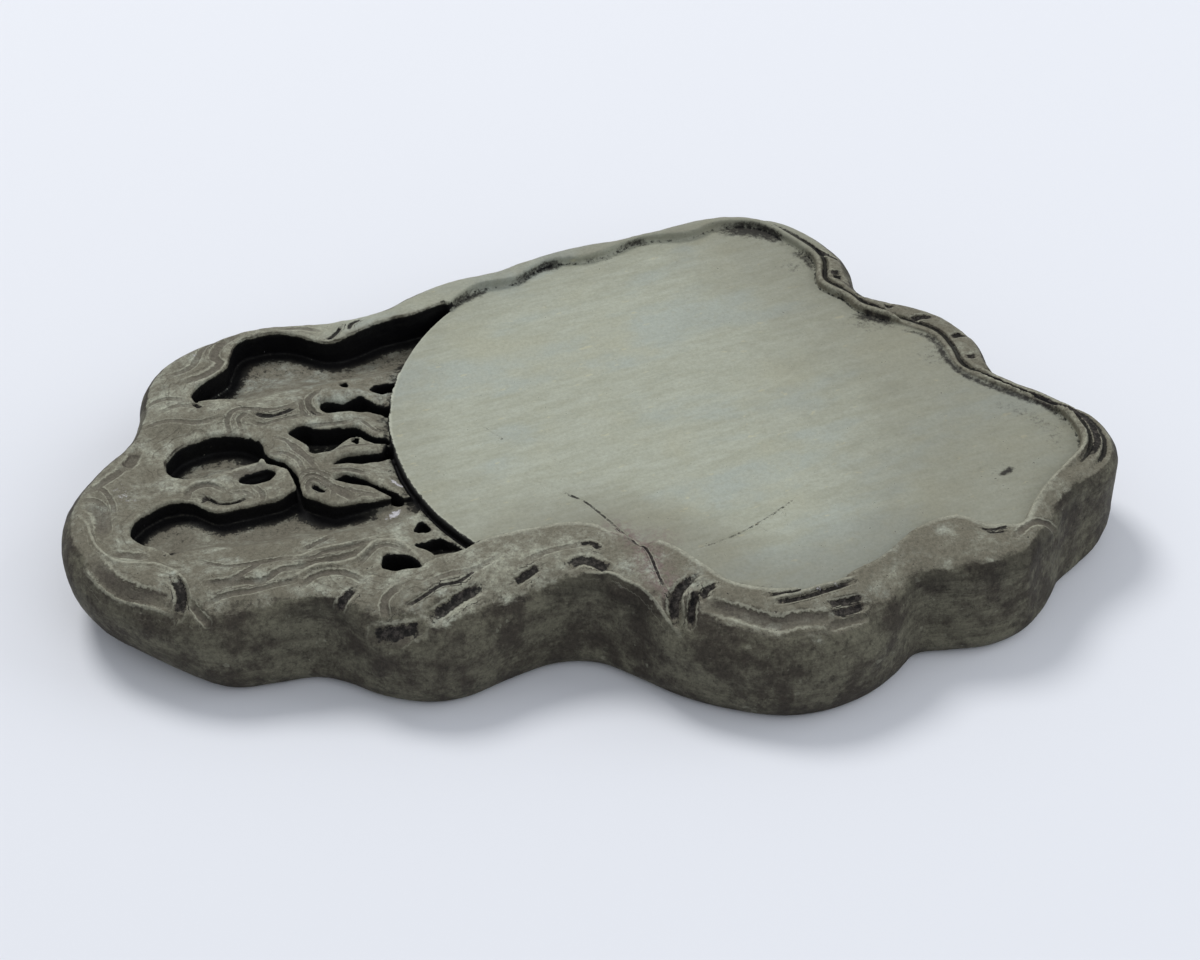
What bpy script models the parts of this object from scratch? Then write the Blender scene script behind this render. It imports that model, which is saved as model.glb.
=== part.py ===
"""A carved scholar's inkstone: one block of grey-green stone with a flat grinding hall,
a disc edge cut with a compass, three ink pools at the left end, and carved roots between them.

The origin is on the underside at the middle of the outline, +X is along the stone towards
the wide grinding end, and +Z is up. Lengths below are in millimetres until MM turns them
into metres.
"""

import math

import bmesh
import bpy

MM = 0.001

# Driving dimensions
THICKNESS = 27.0
HALL_HEIGHT = 24.5
MOAT_HEIGHT = 20.0
POOL_FLOOR = 17.5
LOWER_POOL_FLOOR = 18.8
HOLE_FLOOR = 19.5
DISC_CENTRE = (26.5, 8.6)
DISC_RADIUS = 70.0
RIM_FRONT = 16.0
RIM_BACK = 5.5
SHOULDER_FRONT = 14.0
SHOULDER_BACK = 5.5
SHOULDER_POWER = 1.7
FOOT_TUCK = 4.0
FOOT_TUCK_LEFT = 12.5
FOOT_HEIGHT = 8.0
FOOT_HEIGHT_LEFT = 17.0
WALL_DRAFT = 0.8
ABOVE = 6.0

STONE_COLOUR = (0.135, 0.138, 0.112, 1.0)
STONE_ROUGHNESS = 0.62

# Bays of the front, where the shoulder is narrow and the wall stands straight: x, y, radius
BAY_SHARE = 0.9
BAYS = [
    (-72, -40, 11), (-12, -52, 14), (-2, -56, 8), (66, -74, 12),
    (82, -76, 14), (98, -68, 12), (110, -56, 12),
]

# The widest outline seen from above, anticlockwise from the left end
OUTLINE = [
    (-126, -4), (-122, -14.4), (-115.2, -22.8), (-106.2, -30.6), (-96, -36.6), (-84, -38),
    (-75, -38.8), (-69, -42.4), (-62, -49), (-52, -54.4), (-42, -55.4), (-31, -52.6),
    (-20, -50.8), (-11, -53.2), (-4, -60.2), (4, -69.3), (14, -77), (25, -82.5),
    (36, -84), (47, -82), (56, -77.5), (63, -72.8), (71, -73.8), (81, -75),
    (91, -72.6), (99.5, -66.4), (105, -60.4), (112, -56), (120.4, -50.4), (126.4, -43.4),
    (129.2, -34.4), (127.8, -24.6), (121.4, -13.8), (114.6, -6), (112, 1), (112.8, 9),
    (111.6, 16.5), (107.6, 25.4), (100.4, 32.6), (93.6, 38), (91.4, 43), (92.8, 51.5),
    (92, 60.5), (87.4, 72), (79.4, 81), (66, 86), (52, 85), (38, 83.4),
    (24, 83.6), (10, 81.4), (0, 78.4), (-14, 77.4), (-25, 73.8), (-34, 69.6),
    (-44, 68.4), (-56, 70.6), (-68, 72.4), (-80.6, 70), (-92.8, 63.4), (-99.2, 54.2),
    (-101.6, 44.4), (-106.2, 35), (-115.6, 26.6), (-122.8, 16.8), (-126, 6.4),
]

# Foot of the rim around the grinding hall, from the front left to the back left
HALL_EDGE = [
    (-33, -29.5), (-26, -28.5), (-16, -28.5), (-8, -30), (-2, -34), (5, -39), (11, -45),
    (15, -52), (19, -59), (25, -63.6), (33, -66), (44, -65.5), (54, -62.5),
    (61, -59), (67, -55.5), (77, -53.5), (86, -58), (92, -60), (99, -53.5),
    (108, -46.5), (117, -39.5), (120.4, -32), (119.5, -23), (113.5, -13.5), (107, -5),
    (103, 2), (103, 11), (101.5, 17.5), (95.5, 24), (88, 31.5), (86, 37.5),
    (81.5, 46), (84.5, 56.5), (80.5, 68), (75, 77), (65, 80), (55, 77.5),
    (43, 79.5), (34, 77), (26, 75), (14, 76), (4, 71), (-6, 70.8), (-12, 67.6), (-17, 63.6),
]

# Left side of the low ground under the roots, from the back to the front of the disc
MOAT_EDGE = [
    (-36, 42), (-44, 38.5), (-52, 36), (-58, 33), (-65.5, 27), (-62.5, 20), (-60, 12),
    (-58.5, 5), (-53, 0.5), (-48, -5), (-46, -12), (-45.5, -20), (-45.5, -26), (-41, -30.5),
]

# Lip outlines of the ink pools and of the two small holes
UPPER_POOL = [
    (-86.7, 44.8), (-86.2, 49.2), (-83, 52.3), (-79, 54.5), (-76.3, 57), (-74.5, 61.5),
    (-71, 66.4), (-66, 67.6), (-60, 66.7), (-55.5, 63.8), (-51, 60), (-46, 58.8),
    (-38, 61), (-31, 62.2), (-24, 62.4), (-27, 55), (-32, 47), (-37, 41.2), (-44, 42.4),
    (-53, 42.2), (-59, 38.8), (-65, 36.4), (-70, 37.8), (-74, 41), (-79, 43.6),
]
MIDDLE_POOL = [
    (-97.5, 21), (-97.3, 24.5), (-94, 28.5), (-88, 30.6), (-81, 30.4), (-76, 27.5),
    (-74.2, 23.5), (-75.5, 19.5), (-80, 17.6), (-88, 17), (-94, 18),
]
LOWER_POOL = [
    (-109.6, -1), (-108.6, 3.6), (-104, 7.2), (-98.6, 8.7), (-94, 7.2), (-90, 3),
    (-85, 1.9), (-77, 2.4), (-70.5, 4), (-67.8, 3), (-64.9, -1.6), (-60, -5.6),
    (-52, -6.4), (-45.5, -6.8), (-43.4, -12), (-48, -15), (-54, -19), (-60, -19.4), (-72, -20),
    (-86, -19.8), (-93, -16), (-100, -12.4), (-104, -7), (-108, -4),
]
SLOT = [
    (-81.5, 12), (-79, 14), (-75.5, 14.5), (-72.8, 13), (-74, 10), (-77, 9.3), (-80, 10.2),
]
FRONT_HOLE = [
    (-56, -29), (-54.5, -26.5), (-51.5, -26.8), (-48.5, -29.5), (-47.5, -33.5), (-53, -33.5),
]

# Roots in high relief: x, y, height of the middle line, radius
MAIN_ROOT = [
    (-66, 33, 22.6, 3.4), (-69.5, 26, 22.4, 3.6), (-68.5, 19, 22.2, 3.4),
    (-65.5, 12, 22.2, 3.2), (-64.5, 5, 22.3, 3.6), (-60, -0.5, 22.0, 3.2),
    (-53.5, -3.6, 21.4, 2.2), (-48, -5.4, 20.8, 1.4),
]
UPPER_ROOT = [
    (-80, 37, 22.8, 3.0), (-72, 33.5, 22.8, 3.2), (-64, 34.5, 22.6, 3.0),
    (-56, 38.6, 22.0, 2.4), (-47, 37.2, 21.4, 2.0), (-40.5, 32.5, 20.6, 1.4),
]
BRANCHES = [
    [(-63, 29, 21.8, 2.4), (-55, 29.2, 21.6, 2.0), (-49, 27, 21.2, 1.8), (-44, 18, 20.6, 1.2)],
    [(-64, 14, 21.6, 2.4), (-57, 15.3, 21.2, 2.0), (-50, 15.2, 21.0, 1.6), (-42, 14.6, 20.6, 1.2)],
    [(-62, 8.5, 21.4, 2.2), (-55, 8.2, 21.2, 1.8), (-50.5, 4.5, 21.0, 1.6), (-44.5, -5, 20.4, 1.2)],
    [(-54, -24, 21.8, 2.6), (-49, -22, 21.4, 2.0), (-44, -20, 21.0, 1.6), (-38, -20.6, 20.6, 1.2)],
]


def blend(low, high, value):
    """Smooth step: 0 at low, 1 at high."""
    t = min(max((value - low) / (high - low), 0.0), 1.0)
    return t * t * (3.0 - 2.0 * t)


def spline(points, steps, closed=True):
    """Catmull-Rom curve through points of any number of coordinates."""
    count = len(points)
    spans = count if closed else count - 1
    curve = []
    for i in range(spans):
        if closed:
            four = [points[(i + k) % count] for k in (-1, 0, 1, 2)]
        else:
            four = [points[min(max(i + k, 0), count - 1)] for k in (-1, 0, 1, 2)]
        for step in range(steps):
            t = step / steps
            curve.append(tuple(
                0.5 * (2 * b + (c - a) * t + (2 * a - 5 * b + 4 * c - d) * t**2
                       + (3 * b - a - 3 * c + d) * t**3)
                for a, b, c, d in zip(*four)
            ))
    if not closed:
        curve.append(tuple(float(value) for value in points[-1]))
    return curve


def inset(ring, distances):
    """Moves each point of an anticlockwise ring inwards along its normal."""
    moved = []
    for i, (x, y) in enumerate(ring):
        before, after = ring[i - 1], ring[(i + 1) % len(ring)]
        run, rise = after[0] - before[0], after[1] - before[1]
        length = math.hypot(run, rise)
        moved.append((x - rise / length * distances[i], y + run / length * distances[i]))
    return moved


def anticlockwise(ring):
    area = sum(ring[i - 1][0] * p[1] - p[0] * ring[i - 1][1] for i, p in enumerate(ring))
    return ring if area > 0 else ring[::-1]


def loft(name, rings):
    """A closed mesh object through stacked rings of (x, y, z), lowest first."""
    mesh = bmesh.new()
    rows = [[mesh.verts.new([c * MM for c in point]) for point in ring] for ring in rings]
    for low, high in zip(rows, rows[1:]):
        for i in range(len(low)):
            j = (i + 1) % len(low)
            mesh.faces.new((low[i], low[j], high[j], high[i]))
    mesh.faces.new(rows[0][::-1])
    mesh.faces.new(rows[-1])
    data = bpy.data.meshes.new(name)
    mesh.to_mesh(data)
    mesh.free()
    thing = bpy.data.objects.new(name, data)
    bpy.context.collection.objects.link(thing)
    return thing


def front_share(x, y):
    """0 where the shoulder is narrow, at the back and in the bays, and 1 on the front lobes."""
    share = max(blend(15, -25, y) * blend(116, 98, x), 0.35 * blend(-96, -116, x))
    bay = max(math.exp(-((x - bx)**2 + (y - by)**2) / radius**2) for bx, by, radius in BAYS)
    return share * (1.0 - BAY_SHARE * bay)


def stone_body(outline):
    """The block: tucked foot, bulging wall, and a rim that rounds over the shoulder."""
    left = [blend(-88, -116, x) for x, y in outline]
    tucks = [FOOT_TUCK + (FOOT_TUCK_LEFT - FOOT_TUCK) * share for share in left]
    feet = [FOOT_HEIGHT + (FOOT_HEIGHT_LEFT - FOOT_HEIGHT) * share for share in left]
    front = [front_share(x, y) for x, y in outline]
    rims = [RIM_BACK + (RIM_FRONT - RIM_BACK) * share for share in front]
    falls = [SHOULDER_BACK + (SHOULDER_FRONT - SHOULDER_BACK) * share for share in front]
    rings = []
    for turn in (0.0, 22.0, 45.0, 68.0, 90.0):
        in_share = 1.0 - math.sin(math.radians(turn))
        up_share = 1.0 - math.cos(math.radians(turn))
        flat = inset(outline, [in_share * tuck for tuck in tucks])
        rings.append([(x, y, foot * up_share) for (x, y), foot in zip(flat, feet)])
    for share in (0.0, 0.03, 0.12, 0.28, 0.55, 1.0):
        flat = inset(outline, [share * rim for rim in rims])
        lift = (1.0 - (1.0 - share) ** SHOULDER_POWER) ** (1.0 / SHOULDER_POWER)
        rings.append([
            (x, y, THICKNESS - fall * (1.0 - lift)) for (x, y), fall in zip(flat, falls)
        ])
    return loft("inkstone", rings)


def prism(name, lip, floor_height):
    """A cutter with drafted walls. floor_height(y) gives the height of its floor."""
    ring = anticlockwise(spline(lip, 3))
    low = inset(ring, [WALL_DRAFT] * len(ring))
    return loft(name, [
        [(x, y, floor_height(y)) for x, y in low],
        [(x, y, THICKNESS - 1.0) for x, y in ring],
        [(x, y, THICKNESS + ABOVE) for x, y in ring],
    ])


def sloped(deep_y, shallow_y, rise, deep=POOL_FLOOR):
    """A floor that is deepest at deep_y and climbs towards shallow_y."""
    return lambda y: deep + rise * blend(deep_y, shallow_y, y)


def tube(name, path, sides=8):
    """A tapering rod with flat ends along a path of (x, y, z, radius)."""
    points = spline(path, 3, closed=False)
    rings = []
    for i, (x, y, z, radius) in enumerate(points):
        before, after = points[max(i - 1, 0)], points[min(i + 1, len(points) - 1)]
        run, rise = after[0] - before[0], after[1] - before[1]
        length = math.hypot(run, rise)
        side = (rise / length, -run / length)
        ring = []
        for k in range(sides):
            turn = 2.0 * math.pi * k / sides
            across, up = radius * math.cos(turn), radius * math.sin(turn)
            ring.append((x + side[0] * across, y + side[1] * across, z + up))
        rings.append(ring)
    return loft(name, rings)


def apply_shape(body, tool, operation):
    """Cuts a helper from the body, or joins it on, and hides the helper."""
    tool.hide_render = True
    tool.hide_set(True)
    tool.display_type = "WIRE"
    step = body.modifiers.new(f"{operation.lower()}_{tool.name}", "BOOLEAN")
    step.operation = operation
    step.object = tool
    step.solver = "EXACT"


def disc_arc(first, last, count, radius):
    """Points on a circle about the disc's centre, from one bearing in degrees to another."""
    return [
        (DISC_CENTRE[0] + radius * math.cos(math.radians(first + (last - first) * i / (count - 1))),
         DISC_CENTRE[1] + radius * math.sin(math.radians(first + (last - first) * i / (count - 1))))
        for i in range(count)
    ]


def bearing(point):
    """Direction from the disc's centre, in degrees from 0 to 360."""
    x, y = point[0] - DISC_CENTRE[0], point[1] - DISC_CENTRE[1]
    return math.degrees(math.atan2(y, x)) % 360.0


def hall_cutter():
    """The grinding hall, closed at the left by the compass-cut edge of the disc."""
    rim = spline(HALL_EDGE, 3, closed=False)
    arc = disc_arc(bearing(rim[-1]), bearing(rim[0]), 20, DISC_RADIUS + 0.6)
    ring = anticlockwise(rim + arc[1:-1])
    low = inset(ring, [WALL_DRAFT] * len(ring))
    return loft("hall_cutter", [
        [(x, y, HALL_HEIGHT) for x, y in low],
        [(x, y, THICKNESS + ABOVE) for x, y in ring],
    ])


def moat_cutter():
    """The low ground under the roots, ending at the disc's edge in a small cliff."""
    edge = spline(MOAT_EDGE, 2, closed=False)
    arc = disc_arc(bearing((-33, -30)), bearing(edge[0]), 24, DISC_RADIUS)
    ring = anticlockwise(edge + arc)
    return loft("moat_cutter", [
        [(x, y, MOAT_HEIGHT) for x, y in ring],
        [(x, y, THICKNESS + ABOVE) for x, y in ring],
    ])


def stone_material():
    material = bpy.data.materials.new("grey_green_stone")
    material.use_nodes = True
    shader = material.node_tree.nodes["Principled BSDF"]
    shader.inputs["Base Color"].default_value = STONE_COLOUR
    shader.inputs["Roughness"].default_value = STONE_ROUGHNESS
    shader.inputs["Metallic"].default_value = 0.0
    return material


def clear_scene():
    for thing in list(bpy.data.objects):
        bpy.data.objects.remove(thing, do_unlink=True)


def build():
    clear_scene()
    outline = spline(OUTLINE, 3)
    body = stone_body(outline)
    body.data.materials.append(stone_material())
    upper = sloped(deep_y=62.0, shallow_y=38.0, rise=6.2)
    middle = sloped(deep_y=28.0, shallow_y=17.0, rise=5.0)
    lower = sloped(deep_y=2.0, shallow_y=-18.0, rise=5.6, deep=LOWER_POOL_FLOOR)
    level = sloped(deep_y=0.0, shallow_y=1.0, rise=0.0, deep=HOLE_FLOOR)
    cuts = [
        hall_cutter(),
        moat_cutter(),
        prism("upper_pool_cutter", UPPER_POOL, upper),
        prism("middle_pool_cutter", MIDDLE_POOL, middle),
        prism("lower_pool_cutter", LOWER_POOL, lower),
        prism("slot_cutter", SLOT, level),
        prism("front_hole_cutter", FRONT_HOLE, level),
    ]
    roots = [tube("main_root", MAIN_ROOT), tube("upper_root", UPPER_ROOT)]
    roots += [tube(f"branch_{i + 1}", path, sides=6) for i, path in enumerate(BRANCHES)]
    for cut in cuts:
        apply_shape(body, cut, "DIFFERENCE")
    for root in roots:
        apply_shape(body, root, "UNION")
    # The carving is drawn about its own origin, and stands with its box centred on the world's
    middle = [(min(c) + max(c)) / 2.0 * MM for c in zip(*outline)]
    for thing in [body] + cuts + roots:
        thing.location = (-middle[0], -middle[1], 0.0)


build()
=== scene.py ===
"""Looks of a carved inkstone: one block of grey-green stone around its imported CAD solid.

The carving is drawn in millimetres, x along the stone towards the wide end of the grinding
hall, y towards its back and z up from its foot. Its volume is a distance field on a fine
grid: a lobed block, less the hall, the pools and the gaps between the roots, with grooves
and ridges laid over it. The field becomes one mesh, which stands on the middle of its box.
"""

import math
from types import SimpleNamespace

import bpy
import numpy as np
from mathutils import Matrix, Vector


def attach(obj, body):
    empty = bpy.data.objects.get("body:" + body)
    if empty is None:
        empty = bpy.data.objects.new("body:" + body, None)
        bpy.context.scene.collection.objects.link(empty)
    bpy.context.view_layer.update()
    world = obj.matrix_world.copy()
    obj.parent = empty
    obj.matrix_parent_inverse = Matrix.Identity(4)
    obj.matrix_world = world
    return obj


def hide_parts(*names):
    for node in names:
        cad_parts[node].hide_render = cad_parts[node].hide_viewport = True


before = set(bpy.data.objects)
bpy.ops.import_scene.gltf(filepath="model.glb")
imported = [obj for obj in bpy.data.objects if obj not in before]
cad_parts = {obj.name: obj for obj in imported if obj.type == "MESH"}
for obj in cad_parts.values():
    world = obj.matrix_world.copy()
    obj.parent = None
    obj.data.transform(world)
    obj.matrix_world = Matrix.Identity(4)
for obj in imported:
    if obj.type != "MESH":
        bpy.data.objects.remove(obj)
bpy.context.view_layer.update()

MM = 0.001
SEED = 20

# The field's grid, its room above the crest, and what keeps its layers off the flat heights
GRID = 0.5
HEADROOM = 2.5
OFF_LAYER = 0.013

# Thinning aims at this many triangles, but leaves the carved parts whole and stays above it.
# Evenness weighs how plain a place is against how flat it is.
FEWEST_TRIANGLES = 185000
EVENNESS = 0.01

# Heights of the block and its carving
CREST = 27.0
CREST_LEFT = 26.0
HALL = 24.5
ROOT_TOP = 25.2
ROOT_DROP = 1.4
OUT_OF_THE_WAY = 6.0
LOWEST_CUT = 17.0
UNDERCUT_DEPTH = 10.0

# Low ground under the roots: it rises away from the disc, with a trench along the disc's front
MOAT_AT_DISC = 22.8
MOAT_SLOPE = 0.13
TRENCH_DEPTH = 1.0

# The compass-cut edge of the hall
DISC_CENTRE = (26.5, 8.6)
DISC_RADIUS = 70.0

# Shoulder and foot of the block: narrow at the back and in the bays, wide on the front lobes
RIM = (5.5, 16.0)
SHOULDER = (5.5, 14.0)
SHOULDER_POWER = 1.7
FOOT_POWER = 2.0
FOOT_TUCK, FOOT_TUCK_LEFT = 4.0, 12.5
FOOT_HEIGHT, FOOT_HEIGHT_LEFT = 8.0, 17.0

# Bays of the front, where the wall stands up straight: x, y, radius
BAY_LEAN = 4.5
BAY_NARROWING = 0.45
BAYS = [
    (-72, -40, 11), (-12, -52, 14), (-2, -56, 8),
    (66, -74, 12), (82, -76, 14), (98, -68, 12), (110, -56, 12),
]

# Unevenness of hand work: height and spacing of its waves on the top, the lips and the skin
TOP_WAVES = (0.2, 7.0)
LIP_WAVES = (0.22, 2.2)
SKIN_WAVES = [(0.18, 14.0), (0.10, 4.5), (0.06, 1.7)]

# Grooves that run round the hall: depth, distance outside its edge, half width
CORD_GROOVES = {"near": (1.2, 2.2, 0.7), "far": (1.1, 5.4, 0.8), "back": (0.45, 3.2, 0.7)}

# Faint lines that follow the lips of the hollows: how far they reach, and the x where they end
FLOW_REACH = 16.0
FLOW_END = -42.0

# A carved line's tint is read across this many half widths, and a line this deep shows in full
LINE_SPAN = 4.0
FULL_DEPTH = 0.6

# Reach of the two looks at how hollow a place is, for its creases and for its corners
NEAR_REACH = 0.9
FAR_REACH = 3.0

# The widest outline, anticlockwise from the left end
OUTLINE = [
    (-126, -4), (-122, -14.4), (-115.2, -22.8), (-106.2, -30.6), (-96, -36.6), (-84, -38),
    (-75, -38.8), (-69, -42.4), (-62, -49), (-52, -54.4), (-42, -55.4), (-31, -52.6),
    (-20, -50.8), (-11, -53.2), (-4, -60.2), (4, -69.3), (14, -77), (25, -82.5),
    (36, -84), (47, -82), (56, -77.5), (63, -72.8), (71, -73.8), (81, -75),
    (91, -72.6), (99.5, -66.4), (105, -60.4), (112, -56), (120.4, -50.4), (126.4, -43.4),
    (129.2, -34.4), (127.8, -24.6), (121.4, -13.8), (114.6, -6), (112, 1), (112.8, 9),
    (111.6, 16.5), (107.6, 25.4), (100.4, 32.6), (93.6, 38), (91.4, 43), (92.8, 51.5),
    (92, 60.5), (87.4, 72), (79.4, 81), (66, 86), (52, 85), (38, 83.4),
    (24, 83.6), (10, 81.4), (0, 78.4), (-14, 77.4), (-25, 73.8), (-34, 69.6),
    (-44, 68.4), (-56, 70.6), (-68, 72.4), (-80.6, 70), (-92.8, 63.4), (-99.2, 54.2),
    (-101.6, 44.4), (-106.2, 35), (-115.6, 26.6), (-122.8, 16.8), (-126, 6.4),
]

# Foot of the rim around the grinding hall, from the front left to the back left
HALL_EDGE = [
    (-33, -29.5), (-26, -28.5), (-16, -28.5), (-8, -30), (-2, -34), (5, -39), (11, -45),
    (15, -52), (19, -59), (25, -63.6), (33, -66), (44, -65.5), (54, -62.5),
    (61, -59), (67, -55.5), (77, -53.5), (86, -58), (92, -60), (99, -53.5),
    (108, -46.5), (117, -39.5), (120.4, -32), (119.5, -23), (113.5, -13.5), (107, -5),
    (103, 2), (103, 11), (101.5, 17.5), (95.5, 24), (88, 31.5), (86, 37.5),
    (81.5, 46), (84.5, 56.5), (80.5, 68), (75, 77), (65, 80), (55, 77.5),
    (43, 79.5), (34, 77), (26, 75), (14, 76), (4, 71), (-6, 70.8), (-12, 67.6), (-17, 63.6),
]

# Left side of the low ground under the roots, from the back to the front of the disc
MOAT_EDGE = [
    (-30, 58), (-40, 50), (-54, 44), (-66, 34), (-70, 22), (-68, 8), (-62, -3),
    (-56, -8), (-54, -18), (-58, -28), (-51, -33.4), (-44, -32.4), (-38, -30.8), (-32.6, -29.2),
    (-26, -20), (-22, 10), (-22, 40),
]


# Hollows: lip outline, floor as heights at its deep and shallow lines, those two lines as
# lists of (x, y), a rise of the deep line as (from x, to x, rise), undercut of the wall, and
# rounding of the lip
HOLLOWS = {
    "upper_pool": dict(
        lip=[(-86.5, 44.6), (-87, 47.5), (-85.5, 50.5), (-83, 52.3), (-79, 54.5), (-76.3, 57),
             (-74.8, 60.5), (-73.4, 64), (-71, 66.4), (-68, 67.4), (-64, 67.7), (-60, 66.7),
             (-57, 65), (-54.3, 62.8), (-52, 60.5), (-49.5, 59.2), (-46, 58.8), (-42, 59.5),
             (-38, 61), (-34, 62), (-29, 62.4), (-24, 63.2), (-16, 64.8), (-20, 55), (-28, 47.5),
             (-36.5, 41.5), (-42, 42), (-47, 43.5), (-53, 42.3), (-57, 41), (-61, 37.3),
             (-66, 36.2), (-70, 37.8), (-74, 41), (-78, 43.2), (-82.5, 44.2)],
        heights=(17.6, 25.2), deep=[(-84, 47), (-76, 53), (-65, 61), (-50, 54), (-38, 56)],
        shallow=[(-86, 34), (-76, 39), (-65, 36), (-50, 39), (-38, 38)], undercut=0.8, soft=0.7),
    "middle_pool": dict(
        lip=[(-97.6, 21), (-97.6, 24), (-95.5, 27.2), (-92, 29.6), (-88, 30.8), (-84, 31.1),
             (-80, 30.3), (-76.8, 28.2), (-74.4, 25), (-74.2, 21.5), (-76.2, 18.9), (-80, 17.6),
             (-86, 17.1), (-92, 17.1), (-95.8, 18.6)],
        heights=(17.5, 23.4), deep=[(-96, 20), (-88, 27), (-76, 26)],
        shallow=[(-96, 10), (-88, 15), (-76, 17)], undercut=0.5, soft=1.6),
    "lower_pool": dict(
        lip=[(-109.6, -1), (-109.4, 2), (-107, 5), (-104, 7.2), (-100, 8.6), (-97, 8.5),
             (-94, 7.2), (-91.6, 4.6), (-89.4, 2.6), (-87, 1.8), (-83, 2), (-77, 2.4),
             (-72.5, 2.9), (-70.4, 4), (-68.9, 4.2), (-68, 1.6), (-65.6, -1.2), (-62, -4.4),
             (-57, -5.3), (-51, -5.6), (-46, -6), (-42.6, -6.6), (-42, -9), (-44, -12),
             (-46.5, -13.5), (-50, -16), (-54, -19), (-60, -19.3), (-70, -20), (-80, -20),
             (-87, -19.8), (-91, -17.5), (-95, -14.6), (-100, -12.4), (-102.5, -9),
             (-105, -6), (-108, -4)],
        heights=(18.8, 25.8), deep=[(-106, -3), (-98, 0), (-84, -3), (-68, -4), (-50, -9)],
        shallow=[(-106, -17), (-98, -15.4), (-84, -17), (-68, -18), (-50, -20)],
        climb=(-68, -46, 3.0), undercut=0.8, soft=0.7),
    "slot": dict(
        lip=[(-81.4, 12), (-79.2, 13.6), (-76, 14.2), (-73.4, 13.8), (-72.8, 12.2), (-74.5, 10),
             (-77, 9.6), (-79.5, 10.4)], heights=(19.5, 19.5), soft=0.8),
    "slit": dict(
        lip=[(-75, 22.2), (-74, 20.5), (-72, 17), (-69.8, 14.8), (-68.5, 12.2), (-68, 8), (-68, 3.2),
             (-69, 3.2), (-69, 8), (-69.6, 11.6), (-71.2, 14), (-73.2, 16.8), (-75, 19.8)],
        heights=(19.0, 19.0), soft=0.7),
    "gap_a": dict(
        lip=[(-57, 33.6), (-56.4, 35.3), (-54, 35), (-51, 34.2), (-48.5, 34.9), (-46.3, 34.8),
             (-45, 33.3), (-43.4, 31.4), (-42, 30), (-40, 29), (-41.2, 26.8), (-43, 28.2),
             (-45.2, 29.6), (-48.5, 30), (-50.5, 30.9), (-53, 31.4), (-55.5, 31.2)],
        heights=(18.0, 18.0), soft=0.8),
    "gap_b": dict(
        lip=[(-66.6, 25.6), (-65.4, 27.4), (-62.5, 28), (-60.5, 26.6), (-57, 25.6), (-53, 25.2),
             (-50.5, 24.5), (-49.2, 23), (-48.4, 21.3), (-47.3, 19.4), (-45.8, 17.9), (-43.6, 16.9),
             (-44.4, 15.7), (-46.6, 15.8), (-48.2, 17.4), (-49.2, 19.4), (-50.2, 21.3), (-53, 20.6),
             (-55.5, 18.4), (-58, 17), (-60.5, 16.4), (-62.8, 17.4), (-62.7, 20), (-64.6, 23.2)],
        heights=(17.8, 21.6), deep=[(-66, 24), (-44, 22)], shallow=[(-66, 16), (-44, 13)], soft=0.8),
    "gap_c": dict(
        lip=[(-58.6, 11.2), (-57, 13), (-54.5, 13.6), (-50, 13.2), (-46, 12.9), (-44.2, 14.6),
             (-43.4, 13), (-43.7, 11.6), (-46, 10.4), (-49, 10), (-52, 9.4), (-55, 10.2)],
        heights=(18.2, 18.2), soft=0.8),
    "gap_d": dict(
        lip=[(-59.6, 5.6), (-57.5, 6.8), (-55.5, 6.5), (-53, 4.5), (-51, 1.5), (-49, -1),
             (-47, -3.5), (-45.2, -5.6), (-46.6, -5.8), (-48.4, -4), (-50.3, -1.4), (-52, 0.8),
             (-54.5, 2), (-57, 3.4)],
        heights=(18.0, 18.0), soft=0.8),
    "gap_e": dict(
        lip=[(-43.4, 38), (-41.5, 39.6), (-38.5, 40), (-36, 39.2), (-37.2, 37), (-39.4, 36.6),
             (-41, 35.6), (-42.6, 36.6)], heights=(18.5, 18.5), soft=0.7),
    "gap_f": dict(
        lip=[(-46.6, -24.4), (-43.5, -22.8), (-40, -22.2), (-37.6, -25), (-34.5, -29.6),
             (-38, -31.4), (-41.5, -30.6), (-44, -27)],
        heights=(19.0, 22.4), deep=[(-46, -22), (-34, -22)], shallow=[(-46, -27), (-34, -29)], soft=0.7),
    "pinhole": dict(
        lip=[(-50.8, 41), (-49.8, 41.6), (-48.5, 41.8), (-48.8, 39), (-50, 38.9)],
        heights=(19.5, 19.5), soft=0.5),
    "notch": dict(
        lip=[(-52.2, 19.6), (-50.4, 20.2), (-51, 17.2), (-51.8, 17.6)], heights=(20, 20), soft=0.5),
    "front_hole": dict(
        lip=[(-55.6, -28.4), (-54.6, -26.6), (-52, -26.7), (-49.2, -28), (-47.6, -30.5),
             (-47, -33.6), (-50, -33.9), (-53.5, -33.2), (-55.6, -31)],
        heights=(18.5, 21.5), deep=[(-56, -27), (-47, -28)], shallow=[(-56, -35), (-47, -35)], soft=0.8),
    "triangle": dict(
        lip=[(-45.2, -19), (-42.8, -15.4), (-41.6, -18.6)], heights=(20, 20), soft=0.5),
}

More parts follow.
